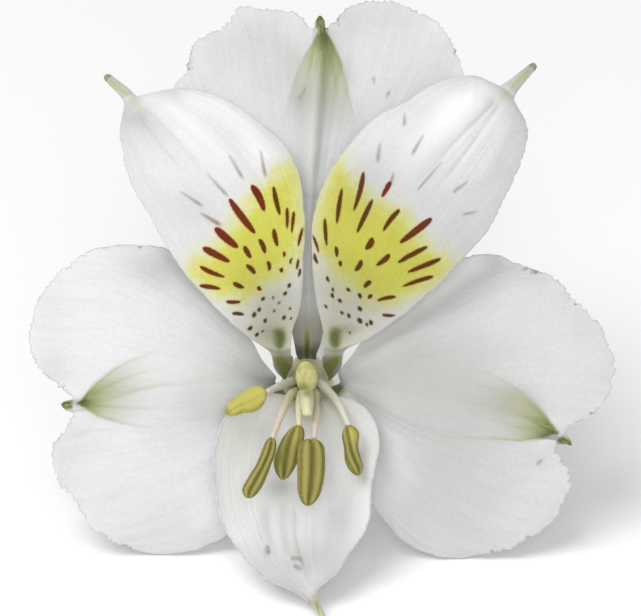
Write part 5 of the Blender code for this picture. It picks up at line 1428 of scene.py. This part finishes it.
def build_green():
    green = green_material("stem_skin", (0.165, 0.305, 0.075), (0.085, 0.185, 0.035))
    ovary_green = green_material("ovary_skin", (0.215, 0.36, 0.105), (0.095, 0.20, 0.045), 0.42, (9.0, 1.4, 9.0))
    n, m = 80, 100
    t = end_steps(n, 0.10)
    angle = np.linspace(0, 2 * math.pi, m, endpoint=False)
    body = OVARY_RADIUS * table([(0, 0.30), (0.12, 0.42), (0.35, 0.86), (0.6, 1.0), (0.85, 0.99), (1.0, 0.93)], t)[:, None]
    body = body * np.maximum(rounded(t, OVARY_LENGTH, 1.0), 0.02)[:, None] ** 0.5
    q = angle[None] - math.pi / 2
    bulge = smooth_step(t / 0.4)[:, None] * smooth_step((1.08 - t) / 0.25)[:, None]
    ribs = 1 + bulge * (0.070 * np.cos(3 * q) + 0.035 * np.cos(6 * q)) + 0.010 * noise2(angle[None] * 12 + 0 * t[:, None], t[:, None] * 20, 5)
    r = body * ribs
    w = (OVARY_TOP + 0.45 - (OVARY_LENGTH + 0.6) * (1 - t))[:, None] + 0 * r
    rings = np.stack([r * np.cos(angle), r * np.sin(angle), w], axis=-1)
    rib = np.clip(np.cos(3 * q), 0, 1) ** 3 * np.ones_like(t)[:, None]
    values = {"skin": np.stack([np.cos(angle)[None] + 0 * r, t[:, None] * 3 + 0 * r, np.sin(angle)[None] + 0 * r], axis=-1),
              "pale": 0.35 * (rib * bulge) + 0 * r, "beige": smooth_step((t[:, None] - 0.76) / 0.08) + 0 * r}
    show(ring_body("ovary_surface", rings, values, world), "ovary", ovary_green)

    t = np.linspace(0, 1, 160)
    line = smooth_curve(PEDICEL, t, chord_3d(PEDICEL))
    radius = PEDICEL_RADIUS * (1 + 0.12 * (1 - smooth_step(t / 0.25)) + 0.25 * smooth_step((t - 0.85) / 0.15)) * (1 + 0.02 * noise1(t * 30, 4))
    first, last = line[0] - (line[1] - line[0]) / np.linalg.norm(line[1] - line[0]) * 0.5, line[-1] + (line[-1] - line[-2]) / np.linalg.norm(line[-1] - line[-2]) * 0.5
    line = np.concatenate([[first], line, [last]])
    radius = np.concatenate([[radius[0]], radius, [radius[-1]]])
    ridge = lambda tt, q: 1 + 0.035 * np.cos(6 * q) + 0.012 * np.cos(17 * q)
    pale = np.concatenate([[0.3], 0.3 * (1 - smooth_step(t / 0.2)), [0.0]])
    show(stalk("pedicel_stalk", line, radius, 36, on_ground, {"pale": pale}, ridge), "pedicel", green)

    n = 260
    t = np.linspace(0, 1, n)
    line = smooth_curve(STEM, t, chord_3d(STEM))
    radius = STEM_RADIUS_TOP + (STEM_RADIUS - STEM_RADIUS_TOP) * smooth_step(t * 1.1) + 0.25 * np.exp(-((t - 0.03) / 0.03) ** 2)
    swell = np.zeros(n)
    for at in STEM_NODES:
        swell += 0.10 * np.exp(-((t - at) / 0.018) ** 2)
    ridge = lambda tt, q: 1 + 0.014 * np.cos(11 * q) + 0.008 * np.cos(23 * q) + 0.006 * noise2(q * 3, tt * 40, 9)
    show(stem_body(line, radius * (1 + 0.4 * swell), t, ridge), "stem", green)
    stem_line = line

    leafy = leaf_material()
    for name, spec in LEAVES.items():
        nu, nv = 141, 41
        us = np.linspace(0, 1, nu)
        vs = np.linspace(0, 1, nv)
        p = leaf_surface(spec)(us, vs)
        line = p[:, nv // 2]
        run = np.concatenate([[0], np.cumsum(np.linalg.norm(np.diff(line, axis=0), axis=1))])
        nrm = normals_of(p)
        if nrm[..., 2].mean() < 0:
            nrm = -nrm
        s = 2 * vs[None] - 1
        grow = smooth_step((us - 0.12) / 0.3)[:, None] * smooth_step((1.02 - us) / 0.2)[:, None]
        relief = 0.045 * np.cos(s * math.pi * 6.5) * grow + 0.10 * np.exp(-(s / 0.07) ** 2) * -grow
        relief = relief + 0.28 * noise1(run[:, None] / 7.0 + 3 * np.sign(s) + 0 * s, 5) * np.abs(s) ** 2 * grow
        p = p + nrm * relief[..., None]
        # The sheath at its foot clasps the stem.
        foot = p[0, nv // 2]
        nearest = stem_line[np.argmin(np.linalg.norm(stem_line - foot, axis=1))]
        way = (nearest - foot) / np.linalg.norm(nearest - foot)
        p = p + way * (0.95 * (1 - smooth_step(us / 0.10)))[:, None, None]
        d, _, _, _ = outline_reach(p)
        thick = 0.10 + 0.26 * (1 - np.exp(-(d / 0.8) ** 1.3)) + 0.5 * (1 - smooth_step(us / 0.14))[:, None] * (1 - np.exp(-(d / 0.5) ** 2))
        fields = {"fan": np.stack([np.repeat(vs[None], nu, 0), np.repeat(us[:, None], nv, 1), np.full((nu, nv), 0.3)], axis=-1), "edge": d,
                  "pale": np.clip(0.9 * (1 - smooth_step(us / 0.2))[:, None] + 0.35 * np.exp(-(s / 0.05) ** 2) * (1 - 0.6 * us[:, None]), 0, 1)}
        show(shell(name + "_blade", p, thick, fields, on_ground), name, leafy)


STEM_NODES = (0.08, 0.18, 0.47, 0.78)


def stem_body(line, radius, t, ridge):
    """The stem, with its cut face: a rim of skin, then paler pith a little below it."""
    around = 60
    ahead, side, up = frames_along(line)
    angle = np.linspace(0, 2 * math.pi, around, endpoint=False)
    r = radius[:, None] * ridge(t[:, None], angle[None])
    rings = line[:, None] + side[:, None] * (r * np.cos(angle))[..., None] + up[:, None] * (r * np.sin(angle))[..., None]
    # The cut is a little slanted.
    end, way = line[-1], ahead[-1]
    slant = (0.35 * np.cos(angle) + 0.1 * np.sin(angle))[None]
    near = np.exp(-((1 - t) / 0.03) ** 2)[:, None]
    rings = rings + way * (near * slant * 0.5)[..., None] * radius[-1]
    caps = []
    for share, sink in ((0.97, 0.03), (0.93, 0.0), (0.86, -0.05), (0.70, -0.10), (0.50, -0.13), (0.28, -0.12), (0.10, -0.10)):
        ring = end + (rings[-1] - end) * share + way * (sink + 0.02 * noise1(angle * 5, int(share * 100)))[:, None]
        caps.append(ring)
    grid = np.concatenate([rings, np.array(caps)])
    run = np.concatenate([[0], np.cumsum(np.linalg.norm(np.diff(line, axis=0), axis=1))])
    pale = np.zeros((len(grid), around))
    pale[len(rings):] = np.array([0.35, 0.7, 0.95, 0.9, 1.0, 1.0, 0.95])[:, None]
    values = {
        "skin": np.stack([np.repeat(np.cos(angle)[None], len(grid), 0), np.repeat(np.concatenate([run, np.full(len(caps), run[-1])])[:, None] * 0.12, around, 1),
                          np.repeat(np.sin(angle)[None], len(grid), 0)], axis=-1),
        "pale": pale,
    }
    return ring_body("stem_stalk", grid, values, on_ground)


def build_stage():
    mesh = bpy.data.meshes.new("studio_floor")
    side = 6.0
    mesh.from_pydata([(-side, -side, -0.0002), (side, -side, -0.0002), (side, side, -0.0002), (-side, side, -0.0002)], [], [(0, 1, 2, 3)])
    floor = bpy.data.objects.new("studio_floor", mesh)
    bpy.context.scene.collection.objects.link(floor)
    mesh.materials.append(floor_material())

    sky = bpy.data.worlds.new("studio")
    bpy.context.scene.world = sky
    sky.use_nodes = True
    sky.node_tree.nodes["Background"].inputs["Color"].default_value = (1.0, 1.0, 1.0, 1)
    sky.node_tree.nodes["Background"].inputs["Strength"].default_value = WORLD_LIGHT

    for name, at, size, power in LIGHTS:
        lamp = bpy.data.lights.new(name, "AREA")
        lamp.shape = "DISK"
        lamp.size = size
        lamp.energy = power
        obj = bpy.data.objects.new(name, lamp)
        bpy.context.scene.collection.objects.link(obj)
        obj.location = at
        target = Vector(world([0, 0, 8.0]))
        obj.rotation_euler = (target - Vector(at)).to_track_quat("-Z", "Y").to_euler()

    camera = bpy.data.cameras.new("camera")
    camera.sensor_width = 36.0
    camera.lens = 36.0 * EYE / (641 * DRAW)
    camera.clip_start, camera.clip_end = 0.01, 50.0
    obj = bpy.data.objects.new("camera", camera)
    bpy.context.scene.collection.objects.link(obj)
    obj.location = world([(AX - CX) * DRAW, (CY - AY) * DRAW, EYE + W_REF])
    obj.rotation_euler = (math.pi / 2 - TILT, 0, 0)
    bpy.context.scene.camera = obj
    bpy.context.scene.view_settings.view_transform = "Standard"
    bpy.context.scene.view_settings.exposure = EXPOSURE


WORLD_LIGHT = 0.58
EXPOSURE = 0.0
LIGHTS = [
    ("key", (-0.50, -0.62, 1.15), 0.9, 10.4),
    ("front", (0.03, -0.90, 0.46), 0.4, 2.0),
]

build_stage()
build_flower()
build_green()
